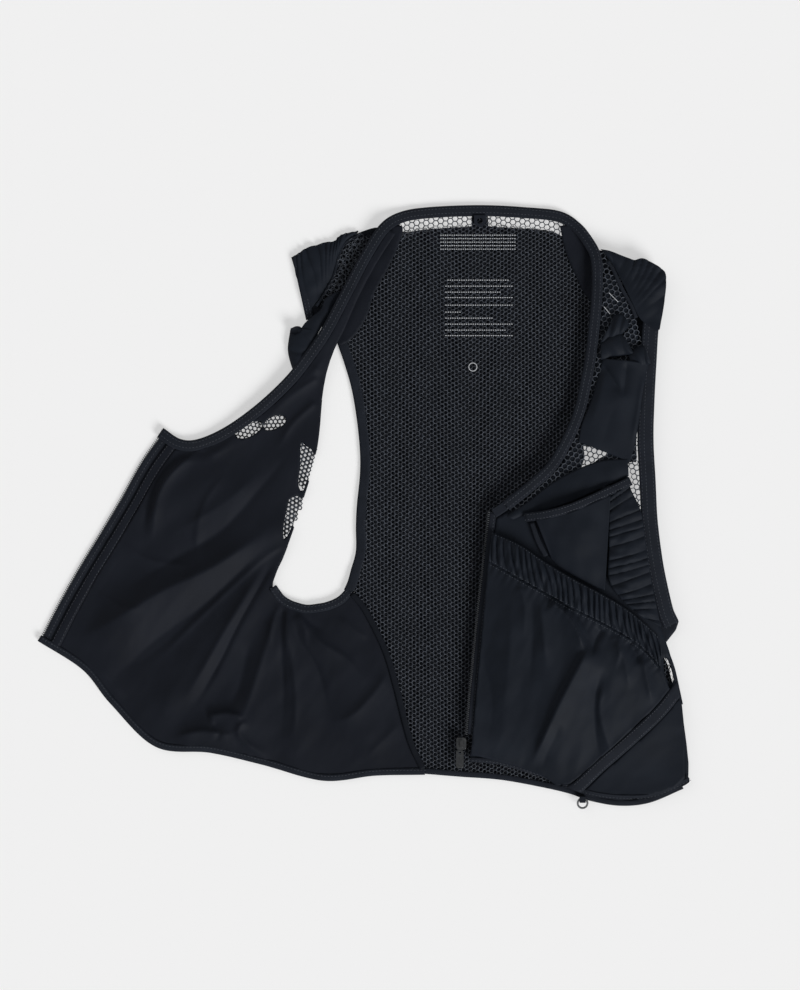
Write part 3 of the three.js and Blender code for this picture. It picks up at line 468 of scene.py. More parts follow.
# threads over and under each other, with slubs and a cloudy tone; Height and Tone are 0 to 1
def makeWeave():
    group, given, out = newGroup(
        "threadWeave",
        [("Vector", "NodeSocketVector", None), ("Thread", "NodeSocketFloat", 0.5),
         ("Cloud", "NodeSocketFloat", 30.0)],
        [("Height", "NodeSocketFloat"), ("Tone", "NodeSocketFloat")])
    parts = group.nodes.new("ShaderNodeSeparateXYZ")
    group.links.new(given.outputs["Vector"], parts.inputs[0])
    per = mathNode(group, "DIVIDE", 2 * math.pi * 1000, given.outputs["Thread"])
    warp = mathNode(group, "SINE", mathNode(group, "MULTIPLY", parts.outputs["X"], per))
    weft = mathNode(group, "SINE", mathNode(group, "MULTIPLY", parts.outputs["Y"], per))
    crossing = mathNode(group, "MULTIPLY", warp, weft)
    slubs = group.nodes.new("ShaderNodeTexNoise")
    slubs.inputs["Scale"].default_value = 900
    slubs.inputs["Detail"].default_value = 1
    group.links.new(given.outputs["Vector"], slubs.inputs["Vector"])
    cloud = group.nodes.new("ShaderNodeTexNoise")
    cloud.inputs["Detail"].default_value = 3
    group.links.new(given.outputs["Vector"], cloud.inputs["Vector"])
    group.links.new(given.outputs["Cloud"], cloud.inputs["Scale"])
    half = mathNode(group, "MULTIPLY_ADD", crossing, 0.35, 0.5)
    lowered = mathNode(group, "SUBTRACT", half, 0.2)
    group.links.new(mathNode(group, "MULTIPLY_ADD", slubs.outputs["Fac"], 0.4, lowered), out.inputs["Height"])
    tone = mathNode(group, "MULTIPLY_ADD", cloud.outputs["Fac"], 0.8, mathNode(group, "MULTIPLY", half, 0.25))
    group.links.new(tone, out.inputs["Tone"])
    return group


threadWeave = makeWeave()


# painted highlight: light streaks in the shape of Vs, painted into the colour. Their V shape follows two nets lying
# over each other, and their lightness stands in for the glints on the strands; their spacing is given in mm
def paintedGlintStreaks(tree, place, glintSpacing):
    parts = tree.nodes.new("ShaderNodeSeparateXYZ")
    tree.links.new(place, parts.inputs[0])
    wander = tree.nodes.new("ShaderNodeTexNoise")
    wander.inputs["Scale"].default_value = 22
    tree.links.new(place, wander.inputs["Vector"])
    across = mathNode(tree, "PINGPONG", mathNode(tree, "ADD", parts.outputs["X"], 1.007), 0.033)
    along = mathNode(tree, "MULTIPLY_ADD", across, 1.9, parts.outputs["Y"])
    along = mathNode(tree, "MULTIPLY_ADD", wander.outputs["Fac"], 0.02, along)
    wave = mathNode(tree, "SINE", mathNode(tree, "MULTIPLY", along, 2 * math.pi / (glintSpacing * mm)))
    return mathNode(tree, "MULTIPLY_ADD", wave, 0.75, 0.9)


# cloth from a dictionary of its look: dark and light tone, roughness, sheen, thread in mm, relief in mm, and for the
# net the spacing of its painted highlight streaks
def clothMaterial(name, look, followUv=False):
    material, tree, shader = newMaterial(name)
    place = tree.nodes.new("ShaderNodeTexCoord")
    weave = tree.nodes.new("ShaderNodeGroup")
    weave.node_tree = threadWeave
    weave.inputs["Thread"].default_value = look["thread"]
    weave.inputs["Cloud"].default_value = look["cloud"]
    tree.links.new(place.outputs["UV" if followUv else "Object"], weave.inputs["Vector"])
    factor = weave.outputs["Tone"]
    # painted highlight: on the net the tone is lightened along painted V streaks that stand in for the glints on its
    # strands
    if "glintSpacing" in look:
        factor = mathNode(tree, "MULTIPLY", factor, paintedGlintStreaks(tree, place.outputs["Object"], look["glintSpacing"]))
    shade(tree, shader, look, factor, weave.outputs["Tone"], weave.outputs["Height"], (0.06, 0.08),
          look["strength"], look["relief"])
    shader.inputs["Specular IOR Level"].default_value = look["gloss"]
    shader.inputs["Sheen Weight"].default_value = look["sheen"]
    shader.inputs["Sheen Roughness"].default_value = 0.45
    shader.inputs["Sheen Tint"].default_value = (0.75, 0.82, 1, 1)
    return material


clothLooks = {
    "lining": {"dark": (0.0045, 0.0056, 0.0088), "light": (0.0115, 0.0138, 0.0205), "rough": 0.62, "gloss": 0.09,
               "sheen": 0.02, "thread": 0.45, "relief": 0.06, "strength": 0.5, "cloud": 26},
    "shell": {"dark": (0.004, 0.005, 0.0075), "light": (0.009, 0.011, 0.016), "rough": 0.65, "gloss": 0.08,
              "sheen": 0.02, "thread": 0.5, "relief": 0.06, "strength": 0.5, "cloud": 30},
    "pocket": {"dark": (0.005, 0.0068, 0.0105), "light": (0.0125, 0.016, 0.0235), "rough": 0.6, "gloss": 0.09,
               "sheen": 0.02, "thread": 0.4, "relief": 0.06, "strength": 0.5, "cloud": 34},
    "binding": {"dark": (0.0055, 0.007, 0.0105), "light": (0.0175, 0.0212, 0.030), "rough": 0.66, "gloss": 0.1,
                "sheen": 0.03, "thread": 0.9, "relief": 0.25, "strength": 0.9, "cloud": 60},
    # the net's light tone is painted highlight, shown along its painted streaks
    "net": {"dark": (0.008, 0.0105, 0.016), "light": (0.062, 0.072, 0.092), "rough": 0.42, "gloss": 0.35,
            "sheen": 0.05, "thread": 0.35, "relief": 0.1, "strength": 0.8, "cloud": 80, "glintSpacing": 8.5},
    "netBelow": {"dark": (0.004, 0.005, 0.008), "light": (0.014, 0.017, 0.024), "rough": 0.6, "gloss": 0.12,
                 "sheen": 0.04, "thread": 0.35, "relief": 0.08, "strength": 0.7, "cloud": 80},
    "thread": {"dark": (0.032, 0.037, 0.047), "light": (0.078, 0.088, 0.108), "rough": 0.45, "gloss": 0.4,
               "sheen": 0.05, "thread": 0.2, "relief": 0.05, "strength": 0.5, "cloud": 200},
    "print": {"dark": (0.4, 0.41, 0.43), "light": (0.62, 0.64, 0.66), "rough": 0.6, "gloss": 0.3,
              "sheen": 0.0, "thread": 0.5, "relief": 0.05, "strength": 0.4, "cloud": 500},
    "coil": {"dark": (0.03, 0.033, 0.038), "light": (0.075, 0.08, 0.09), "rough": 0.34, "gloss": 0.5,
             "sheen": 0.0, "thread": 0.6, "relief": 0.05, "strength": 0.4, "cloud": 200},
}
liningCloth = clothMaterial("liningCloth", clothLooks["lining"])
shellCloth = clothMaterial("shellCloth", clothLooks["shell"])
pocketCloth = clothMaterial("pocketCloth", clothLooks["pocket"])
bindingKnit = clothMaterial("bindingKnit", clothLooks["binding"], followUv=True)
bindingPlain = clothMaterial("bindingPlain", clothLooks["binding"])
netKnit = clothMaterial("netKnit", clothLooks["net"])
netBelow = clothMaterial("netBelow", clothLooks["netBelow"])
threadBlack = clothMaterial("threadBlack", clothLooks["thread"])
printWhite = clothMaterial("printWhite", clothLooks["print"])
coilNylon = clothMaterial("coilNylon", clothLooks["coil"])


# metal from a dictionary of its look, scuffed in fine scratches
def metalMaterial(name, look):
    material, tree, shader = newMaterial(name)
    place = tree.nodes.new("ShaderNodeTexCoord")
    scuff = tree.nodes.new("ShaderNodeTexNoise")
    scuff.inputs["Scale"].default_value = look["scuff"]
    scuff.inputs["Detail"].default_value = 6
    tree.links.new(place.outputs["Object"], scuff.inputs["Vector"])
    fac = scuff.outputs["Fac"]
    shade(tree, shader, look, fac, fac, fac, (0.1, 0.15), 0.3, 0.02)
    shader.inputs["Metallic"].default_value = look["metal"]
    return material


sliderMetal = metalMaterial("sliderMetal", {"dark": (0.05, 0.053, 0.058), "light": (0.13, 0.135, 0.14), "rough": 0.3,
                                            "scuff": 900, "metal": 0.85})
ringSteel = metalMaterial("ringSteel", {"dark": (0.2, 0.21, 0.22), "light": (0.42, 0.43, 0.44), "rough": 0.3,
                                        "scuff": 700, "metal": 1.0})
print("materials made")

# Camera, light and floor

studio = {"lens": 85, "middle": (400, 495), "viewHeight": 0.7429, "sun": 3.1, "world": 0.22, "floor": 0.48,
          "glow": 0.46}


def makeStudio():
    middle = spot(*studio["middle"])
    camera = bpy.data.cameras.new("camera")
    camera.lens = studio["lens"]
    eye = bpy.data.objects.new("camera", camera)
    away = studio["viewHeight"] * studio["lens"] / camera.sensor_width
    eye.location = (*middle, away + 0.004)
    scene.collection.objects.link(eye)
    scene.camera = eye
    for name, strength, spread, turn in (("keyLight", studio["sun"], 26, (58, 0, 40)),
                                         ("fillLight", 0.18 * studio["sun"], 60, (50, 0, -130))):
        light = bpy.data.lights.new(name, "SUN")
        light.energy = strength
        light.angle = math.radians(spread)
        lamp = bpy.data.objects.new(name, light)
        lamp.rotation_euler = [math.radians(a) for a in turn]
        scene.collection.objects.link(lamp)
    world = bpy.data.worlds.new("softbox")
    world.use_nodes = True
    world.node_tree.nodes["Background"].inputs["Color"].default_value = (1, 1, 1, 1)
    world.node_tree.nodes["Background"].inputs["Strength"].default_value = studio["world"]
    scene.world = world
    scene.view_settings.view_transform = "Standard"

    bm = bmesh.new()
    bmesh.ops.create_grid(bm, x_segments=8, y_segments=8, size=4)
    bmesh.ops.translate(bm, vec=(0, 0, -0.2 * mm), verts=bm.verts)
    mesh = bpy.data.meshes.new("floor")
    bm.to_mesh(mesh)
    bm.free()
    floor = bpy.data.objects.new("floor", mesh)
    scene.collection.objects.link(floor)
    paint, _, shader = newMaterial("floorPaint")
    shader.inputs["Base Color"].default_value = (studio["floor"],) * 3 + (1,)
    shader.inputs["Roughness"].default_value = 0.9
    shader.inputs["Specular IOR Level"].default_value = 0.0
    shader.inputs["Emission Color"].default_value = (1, 1, 1, 1)
    shader.inputs["Emission Strength"].default_value = studio["glow"]
    mesh.materials.append(paint)


makeStudio()

# Edges of the vest

edges = {
    "collar": [(163, 428), (180, 439), (198, 439), (225, 427), (256, 405), (285, 378), (305, 353), (322, 328),
               (340, 294), (361, 254), (380, 225), (400, 212), (429, 207), (480, 205), (525, 207), (560, 211),
               (579, 222), (592, 238), (601, 258), (602, 291), (599, 327), (595, 361), (590, 387), (584, 413),
               (572, 442), (556, 469), (534, 490), (509, 510)],
    "openZip": [(163, 428), (140, 460), (118, 499), (97, 534), (78, 565), (57, 602), (37, 641)],
    "openHem": [(37, 641), (82, 670), (110, 704), (155, 747), (210, 753), (262, 765), (323, 781), (375, 776),
                (425, 775)],
    "underarm": [(276, 585), (283, 595), (290, 600), (298, 603), (307, 605), (317, 604), (327, 602), (338, 597),
                 (347, 588)],
    "backArm": [(344, 590), (348, 581), (351, 570), (356, 551), (356, 527), (357, 505), (360, 475), (360, 450),
                (357, 420), (352, 390), (345, 365), (337, 342)],
    "backHem": [(424, 774), (460, 777), (500, 780), (540, 787), (570, 794), (590, 801), (620, 806), (650, 803),
                (684, 789)],
    "closedZip": [(487, 512), (484, 540), (480, 575), (476, 610), (472, 650), (467, 700), (464.5, 733)],
    "frontHem": [(469, 762), (500, 765), (540, 777), (565, 787), (590, 796), (620, 800), (655, 798), (691, 782)],
    "sideBand": [(664, 274), (662, 300), (658, 330), (656, 362), (654, 400), (653, 440), (655, 480), (657, 520),
                 (662, 560), (668, 590), (673, 610), (678, 621)],
    "sideSeam": [(352, 594), (365, 610), (385, 650), (397, 690), (410, 740), (423, 769)],
}
lines = {name: smoothLine(places) for name, places in edges.items()}

# Back: outer cloth, a net below and the net that is seen, which shifts over it

backLook = {"opening": 3.05, "strand": 0.6, "belowOpening": 3.35, "belowStrand": 0.9, "lean": 0.12}
backLevel = {"cloth": 0.8, "netBelow": 1.9, "net": 3.1, "print": 3.35, "ring": 3.45, "corner": 3.6, "seam": 3.8}
printed = {
    # left, right and height of each ruled line
    "rows": [(441, 515, 235), (441, 515, 238.5), (441, 515, 242), (441, 515, 245.5), (441, 515, 249),
             (448, 508, 280), (446, 512, 286), (446, 500, 292), (446, 512, 297.5), (446, 512, 305), (446, 460, 312),
             (446, 492, 318), (446, 512, 324), (446, 505, 330), (446, 512, 335.5)],
    "ring": (473, 367, 3.3, 0.5),
}
backCorners = {
    "backCornerLeft": [(382, 228), (402, 226), (398, 246), (388, 268), (374, 294), (366, 318), (352, 338),
                       (338, 344), (340, 318), (358, 270)],
    "backCornerRight": [(560, 226), (578, 224), (592, 240), (597, 262), (597, 300), (588, 298), (578, 280),
                        (566, 252)],
}


def makePrint():
    bm = bmesh.new()
    level = levelAt(backLevel["print"])
    for left, right, row in printed["rows"]:
        stitchRow(bm, smoothLine([(left, row), ((left + right) / 2, row), (right, row)]), level,
                  spacing=1.7, long=1.3, wide=0.75, tall=0.15)
    px, py, radius, wall = printed["ring"]
    ring = bmesh.ops.create_circle(bm, cap_ends=True, segments=40, radius=radius * mm)
    face = ring["verts"][0].link_faces[0]
    bmesh.ops.inset_individual(bm, faces=[face], thickness=wall * mm)
    bmesh.ops.delete(bm, geom=[face], context="FACES")
    bmesh.ops.translate(bm, vec=(*spot(px, py), backLevel["ring"] * mm), verts=ring["verts"])
    inner = [v for v in bm.verts if v.co.z == 0]
    bmesh.ops.translate(bm, vec=(*spot(px, py), backLevel["ring"] * mm), verts=inner)
    finishPiece("printedLines", bm, printWhite, "net", upright=False)


def makeBack():
    outline = outlineOf("back_shell")
    bm = clothGrid(outline, 4 * mm)
    setHeights(bm, lambda points: backLevel["cloth"] * mm + unevenness(points, 30, 0.25, 1))
    sheet(finishPiece("backCloth", bm, shellCloth, "shell_cloth", ["back_shell"], thick=0.5))

    netEdge = outlineOf("back_net")
    middle = spot(462, 500)[0]
    bm = hexNet(netEdge, backLook["belowOpening"], backLook["belowStrand"],
                levelAt(backLevel["netBelow"]), deep=0.2, lean=-backLook["lean"], middle=middle, turn=0.6)
    finishPiece("backNetBelow", bm, netBelow, "net")
    bm = hexNet(netEdge, backLook["opening"], backLook["strand"],
                lambda points: backLevel["net"] * mm + unevenness(points, 40, 0.3, 3), deep=0.4,
                lean=backLook["lean"], middle=middle)
    sheet(finishPiece("backNet", bm, netKnit, "net", ["back_net"]))
    for name, places in backCorners.items():
        patch(name, places, levelAt(backLevel["corner"]), liningCloth, "lining_cloth", thick=0.3, uneven=0.5)
    makePrint()

    tapeOn("backArmholeBinding", lines["backArm"], 0.2, -7.4, "back_armhole_binding", "back_net", lift=-0.1)
    tapeOn("backHemTape", lines["backHem"], 0, 4.4, "back_hem_tape", crown=0.3)
    strip("sideSeam", lines["sideSeam"], -2.2, 4.4, levelAt(backLevel["seam"]), shellCloth, "binding", crown=0.4)


makeBack()
print("back made")

# Net windows at the nape, open to the floor

windowLook = {"opening": 4.15, "strand": 0.75}


def makeNape():
    for name in ("neck_net_left", "neck_net_right"):
        outline = outlineOf(name)
        centre = outline.mean(axis=0)
        bm = hexNet(centre + (outline - centre) * (1.02, 1.25), windowLook["opening"], windowLook["strand"],
                    levelAt(3.0), deep=0.25, turn=-2 if name.endswith("left") else 5)
        finishPiece("napeNet_" + name.split("_")[-1], bm, netKnit, "net", [name], thick=0.4)


makeNape()

# Opened left front

windowEdges = {
    "collarWindow": [(234, 436), (240, 430), (250, 424), (260, 421), (262, 426), (256, 433), (246, 438), (238, 438)],
    "strapWindow": [(262, 426), (268, 419), (278, 415), (285, 417), (284, 424), (274, 429), (266, 430)],
    "armWindow": [(301, 441), (306, 446), (313, 452), (311, 466), (306, 482), (302, 492), (298, 484), (300, 466),
                  (300, 452)],
    "lowerWindow": [(289, 499), (297, 496), (301, 500), (296, 514), (291, 528), (284, 540), (283, 528), (286, 512)],
}
liningFolds = [
    # path, height, width left, width right, fades
    ([(262, 408), (214, 440), (188, 458), (163, 484), (151, 515), (146, 548)], 2.4, 8, 2.2),
    ([(192, 452), (166, 478), (155, 510), (150, 546)], 1.2, 4, 1.4),
    ([(172, 440), (156, 478), (146, 512), (142, 545)], -1.2, 3, 4),
    ([(205, 436), (236, 432), (216, 452), (186, 462)], 1.2, 5, 5),
    ([(272, 528), (214, 566), (160, 592), (96, 630), (64, 640)], 3.4, 11, 8),
    ([(300, 440), (262, 486), (222, 530), (180, 556), (104, 600)], -2.6, 8, 10),
    ([(262, 470), (228, 500), (196, 520), (160, 540)], 1.8, 12, 8),
    ([(150, 455), (128, 500), (104, 548), (78, 600)], 1.2, 7, 8),
    ([(268, 545), (210, 600), (150, 650), (104, 682)], -1.8, 5, 8),
    ([(276, 560), (240, 622), (220, 662), (192, 712)], -1.5, 1.4, 4.5, 0.1, 0.3),
    ([(286, 545), (262, 560), (206, 612), (150, 668)], 0.9, 1.6, 3.4, 0.05, 0.4),
    ([(118, 540), (150, 560), (196, 566)], 0.7, 2.2, 4),
    ([(96, 590), (120, 606), (150, 608)], 0.6, 2.0, 4),
    ([(228, 470), (206, 500), (196, 540), (206, 570)], 0.8, 5, 2.0),
    ([(282, 600), (272, 626), (270, 660)], 0.9, 1.4, 1.8, 0.05, 0.5),
    ([(288, 606), (286, 634), (290, 668)], 1.0, 1.4, 1.8, 0.05, 0.5),
    ([(294, 608), (304, 626), (308, 650)], 0.9, 1.4, 1.8, 0.05, 0.5),
    ([(270, 556), (232, 618), (210, 656), (180, 706)], 1.7, 8, 3),
    ([(281, 596), (268, 640), (252, 690), (238, 730)], 1.5, 3, 5),
    ([(284, 606), (282, 650), (284, 700), (280, 748)], -0.9, 1.6, 2.4, 0.05, 0.5),
    ([(287, 606), (291, 650), (296, 700), (292, 752)], 1.2, 2.6, 3),
    ([(292, 610), (300, 640), (318, 670), (330, 716)], -1.0, 1.8, 3),
    ([(297, 612), (318, 640), (350, 662), (372, 700)], 1.3, 3, 5, 0.05, 0.5),
    ([(296, 606), (310, 622), (330, 634)], -0.9, 1.6, 2.4, 0.05, 0.5),
    ([(338, 616), (356, 632), (372, 640)], 0.9, 3, 2.4),
    ([(392, 664), (376, 690), (350, 716), (326, 722)], 1.8, 8, 4),
    ([(405, 720), (385, 738), (360, 764)], 0.9, 6, 5),
    ([(250, 640), (238, 690), (222, 714)], -1.2, 5, 5),
    ([(206, 716), (228, 713), (246, 718)], 2.0, 2.6, 4.5, 0.15, 0.2),
    ([(246, 718), (238, 732), (252, 748), (276, 764)], 1.7, 3, 2, 0.1, 0.3),
    ([(172, 738), (200, 731), (226, 734), (240, 730)], 1.6, 2.4, 4),
    ([(212, 720), (220, 732), (214, 742)], -1.0, 2, 2),
    ([(112, 700), (140, 728), (160, 744)], 1.0, 2.4, 3),
    ([(70, 655), (104, 676), (128, 708)], 0.9, 3, 5),
    ([(303, 360), (322, 372), (330, 352)], 0.8, 3, 3),
    ([(318, 378), (284, 400), (262, 424)], 1.2, 3, 2.2, 0.05, 0.4),
    ([(316, 402), (292, 424), (276, 452)], 1.4, 3.4, 2.6, 0.05, 0.4),
    ([(330, 352), (304, 380), (276, 402), (246, 420)], 1.0, 4, 3),
    ([(352, 302), (330, 338), (308, 366)], 1.0, 3.4, 2.6),
    ([(372, 268), (352, 296), (338, 322)], 1.1, 3, 3.2),
]


def makeLeftFront():
    windows = [closedLine(places) for places in windowEdges.values()]
    outline = outlineOf("left_shell")
    bm = clothGrid(outline, 3 * mm, windows)
    setHeights(bm, levelAt(0.7))
    sheet(finishPiece("leftShellCloth", bm, shellCloth, "shell_cloth", ["left_shell"], thick=0.5))
    for i, window in enumerate(windows):
        centre = window.mean(axis=0)
        bm = hexNet(centre + (window - centre) * 1.25, 3.3, (1.0, 1.1, 1.5, 1.6)[i], levelAt(1.3), deep=0.2,
                    turn=20 + 12 * i)
        finishPiece(f"leftWindowNet_{i + 1}", bm, netKnit, "net", thick=0.35)

    outline = outlineOf("left_lining")
    bm = clothGrid(outline, 1.5 * mm, windows)
    setHeights(bm, topOf("left_lining"))
    blurHeights(bm, 30)
    points = placesOf(bm.verts)
    rise = 1.6 * foldRise(points, liningFolds)
    rise += unevenness(points, 22, 0.9, 2, turn=40, stretch=3)
    rise += unevenness(points, 9, 0.4, 5, turn=52, stretch=3.5)
    rise += unevenness(points, 4.5, 0.12, 8, turn=70, stretch=2)
    away, _, _, _ = nearestOn(points, np.vstack([outline, outline[:1]]))
    rise *= np.clip(away / (8 * mm), 0.15, 1)
    for vert, up in zip(bm.verts, rise):
        vert.co.z = max(vert.co.z + up - 0.3 * mm, 1.6 * mm)
    sheet(finishPiece("leftLining", bm, liningCloth, "lining_cloth", ["left_lining"], thick=0.45))

    zipLine = lines["openZip"][3:]
    strip("leftZipTape", zipLine, 1.6, 8.4, levelAt(1.2), bindingKnit, "binding", ["left_zip_tape"], crown=0.25)
    strip("leftFacing", zipLine, 9.4, 7.6, levelAt(2.5), liningCloth, "lining_cloth", ["left_facing"], crown=0.6)
    tapeOn("leftHemTape", lines["openHem"], 0, 5.2, "left_hem_tape", "left_lining", crown=0.4)
    tapeOn("underarmBinding", lines["underarm"], 0.2, -6.4, "left_underarm_binding", "left_lining", lift=0.3)
    stitches("leftFrontStitches", [
        beside(zipLine, 5.6 * mm), beside(zipLine, 10.4 * mm), beside(zipLine, 15.4 * mm),
        beside(lines["underarm"], -1.4 * mm), beside(lines["underarm"], -4.6 * mm),
        beside(lines["openHem"], 3.6 * mm),
    ], topOfScene("leftZipTape", "leftFacing", "leftHemTape", "underarmBinding"), spacing=2.6, long=1.6)


# height of finished pieces of the scene, for what is sewn on them
def topOfScene(*names):
    trees = []
    for name in names:
        bm = bmesh.new()
        bm.from_mesh(bpy.data.objects[name].data)
        trees.append(BVHTree.FromBMesh(bm))
        bm.free()

    def height(points):
        heights = []
        for x, y in points:
            hits = [tree.ray_cast(Vector((x, y, 1)), Vector((0, 0, -1)))[0] for tree in trees]
            found = [place.z for place in hits if place]
            if not found:
                found = [min((tree.find_nearest(Vector((x, y, 0.01)))[0] for tree in trees),
                             key=lambda place: math.dist(place.xy, (x, y))).z]
            heights.append(max(found))
        return np.array(heights)
    return height


makeLeftFront()
print("left front made")

# Zip teeth: two rows of coil loops

zipLook = {"spacing": 1.5, "long": 2.6, "wide": 0.84, "tall": 1.6, "turn": 78, "segments": (8, 6)}


def coilTeeth(name, line, near, height, hides):
    bm = bmesh.new()
    stitchRow(bm, beside(line, near * mm), levelAt(height), **zipLook)
    return finishPiece(name, bm, coilNylon, "zip_coil", hides, upright=False)


# Collar binding, from the opened zip's corner over the nape to the closed zip

def makeCollar():
    collar = lines["collar"]
    ground = topOf("collar_binding_left", "collar_binding_neck", "collar_binding_right", "zip_garage")
    strip("collarBinding", collar, 0.1, -8.4, ground, bindingKnit, "binding",
          ["collar_binding_left", "collar_binding_neck", "collar_binding_right"], crown=0.7, lift=-0.7, across=8)
    stitches("collarStitches", [beside(collar, -1.9 * mm), beside(collar, -5.6 * mm)],
             topOfScene("collarBinding"), spacing=2.6, long=1.6)


makeCollar()
print("collar made")

# Left shoulder

shoulder = {
    "capTop": [(292, 257), (300, 252), (304, 249), (311, 246), (316, 245), (325, 242), (334, 241), (339, 236),
               (346, 233), (358, 231)],
    "capFoot": [(306, 320), (311, 309), (316, 302), (321, 296), (328, 284), (334, 272), (338, 258), (345, 243),
                (358, 232)],
    "band": [(291, 257), (297, 278), (302, 300), (306, 320)],
    "netEdge": [(356, 234), (366, 238), (354, 258), (342, 282), (334, 300), (322, 302), (326, 290), (335, 275),
                (339, 258), (346, 243)],
    "under": [(297, 258), (320, 247), (346, 237), (380, 228), (364, 262), (342, 300), (326, 325), (309, 322),
              (302, 292)],
    "sleeveLeft": [(291, 328), (289, 339), (288, 350), (290, 360), (294, 372)],
    "sleeveRight": [(318, 330), (314, 341), (309, 350), (303, 359), (297, 370)],
    "flapOuter": [(299, 332), (305, 323), (313, 316), (321, 309), (325, 299), (332, 294)],
    "flapInner": [(313, 343), (319, 332), (326, 320), (334, 306), (340, 296), (344, 290)],
    "mouth": (296, 330.5, 4.6, 2.9),
    "piping": [(360, 234), (345, 243), (338, 258), (334, 275), (325, 293), (316, 306)],
}


def makeLeftShoulder():
    bm = ruledGrid(smoothLine(shoulder["capTop"]), smoothLine(shoulder["capFoot"]), 90, 40)

    def gathered(points, u, v):
        slant = v * 11 + 1.2 * u + 0.6 * np.sin(9 * v + 3 * u)
        pleat = pleats(slant, 0.55)
        return (1.6 + 2.4 * np.sin(math.pi * np.clip(u, 0.02, 0.98)) * np.sin(math.pi * (0.15 + 0.7 * v))) * mm \
            + pleat * 2.0 * mm * (1 - u) ** 1.1 + unevenness(points, 9, 0.9, 4)
    setRuledHeights(bm, gathered)
    sheet(finishPiece("leftShoulderCap", bm, pocketCloth, "pocket_cloth", ["left_shoulder_cap"], thick=0.5))
    bm = hexNet(closedLine(shoulder["netEdge"]), 4.4, 0.9, levelAt(3.2), turn=30)
    finishPiece("leftShoulderNet", bm, netKnit, "net", thick=0.35)
    patch("leftShoulderCloth", shoulder["under"], levelAt(1.2), shellCloth, "shell_cloth", thick=0.4)

    bm = ruledGrid(smoothLine(shoulder["sleeveLeft"]), smoothLine(shoulder["sleeveRight"]), 44, 24)
    setRuledHeights(bm, lambda points, u, v: (1.2 + 5.6 * np.sin(math.pi * np.clip(0.06 + 0.7 * u, 0, 1)) ** 0.6) * mm
                    - 1.1 * mm * np.exp(-((v - 0.5 - 0.1 * u) / 0.07) ** 2) + unevenness(points, 10, 0.6, 33))
    sheet(finishPiece("leftSleeveBody", bm, pocketCloth, "pocket_cloth", ["left_sleeve_roll"], thick=0.5))
    bm = ruledGrid(smoothLine(shoulder["flapOuter"]), smoothLine(shoulder["flapInner"]), 44, 20)
    setRuledHeights(bm, lambda points, u, v: (6.2 + 1.1 * np.sin(math.pi * u) - 1.5 * v) * mm
                    + unevenness(points, 9, 0.7, 34))
    sheet(finishPiece("leftSleeveFlap", bm, pocketCloth, "pocket_cloth", ["left_sleeve_flap"], thick=0.5))
    bm = bmesh.new()
    px, py, wide, tall = shoulder["mouth"]
    bmesh.ops.create_circle(bm, cap_ends=True, segments=24, radius=1)
    bmesh.ops.inset_individual(bm, faces=list(bm.faces), thickness=0.18, depth=-0.2)
    bmesh.ops.scale(bm, vec=(wide * mm, tall * mm, 4 * mm), verts=bm.verts)
    bmesh.ops.rotate(bm, matrix=Matrix.Rotation(0.3, 3, "Z"), verts=bm.verts)
    bmesh.ops.translate(bm, vec=(*spot(px, py), 7.2 * mm), verts=bm.verts)
    finishPiece("leftSleeveMouth", bm, shellCloth, "pocket_cloth")

    band = smoothLine(shoulder["band"])
    tapeOn("leftCapBand", band, 0, 6, "left_cap_band", lift=-0.3)
    tapeOn("leftCapPiping", smoothLine(shoulder["piping"]), -1.3, 2.6, "left_cap_piping", crown=0.9, lift=-0.4)
    stitches("leftShoulderStitches", [beside(band, 1.6 * mm), beside(band, 4.2 * mm)], topOfScene("leftCapBand"))


makeLeftShoulder()
print("left shoulder made")

# Closed right front

rightWindows = {
    "chestWindow": [(583, 446), (593, 447), (603, 450), (607, 454), (598, 459), (588, 468), (580, 471), (584, 458)],
    "sideWindow": [(627, 463), (634, 462), (640, 466), (642, 484), (645, 510), (648, 535), (651, 562), (647, 552),
                   (640, 524), (633, 498), (628, 480)],
    "hemWindow": [(663, 657), (667, 659), (672, 670), (674, 682), (669, 682), (664, 672)],
}


rightEdge = np.array([spot(*place) for place in (
    (469, 761), (500, 764), (540, 776), (565, 786), (590, 796), (620, 800), (655, 798), (680, 789), (689, 782),
    (690, 772), (687, 743), (681, 704), (673, 664), (640, 620), (560, 700), (480, 740))])
rightTop = topOf("right_front_net", "right_armhole_band")


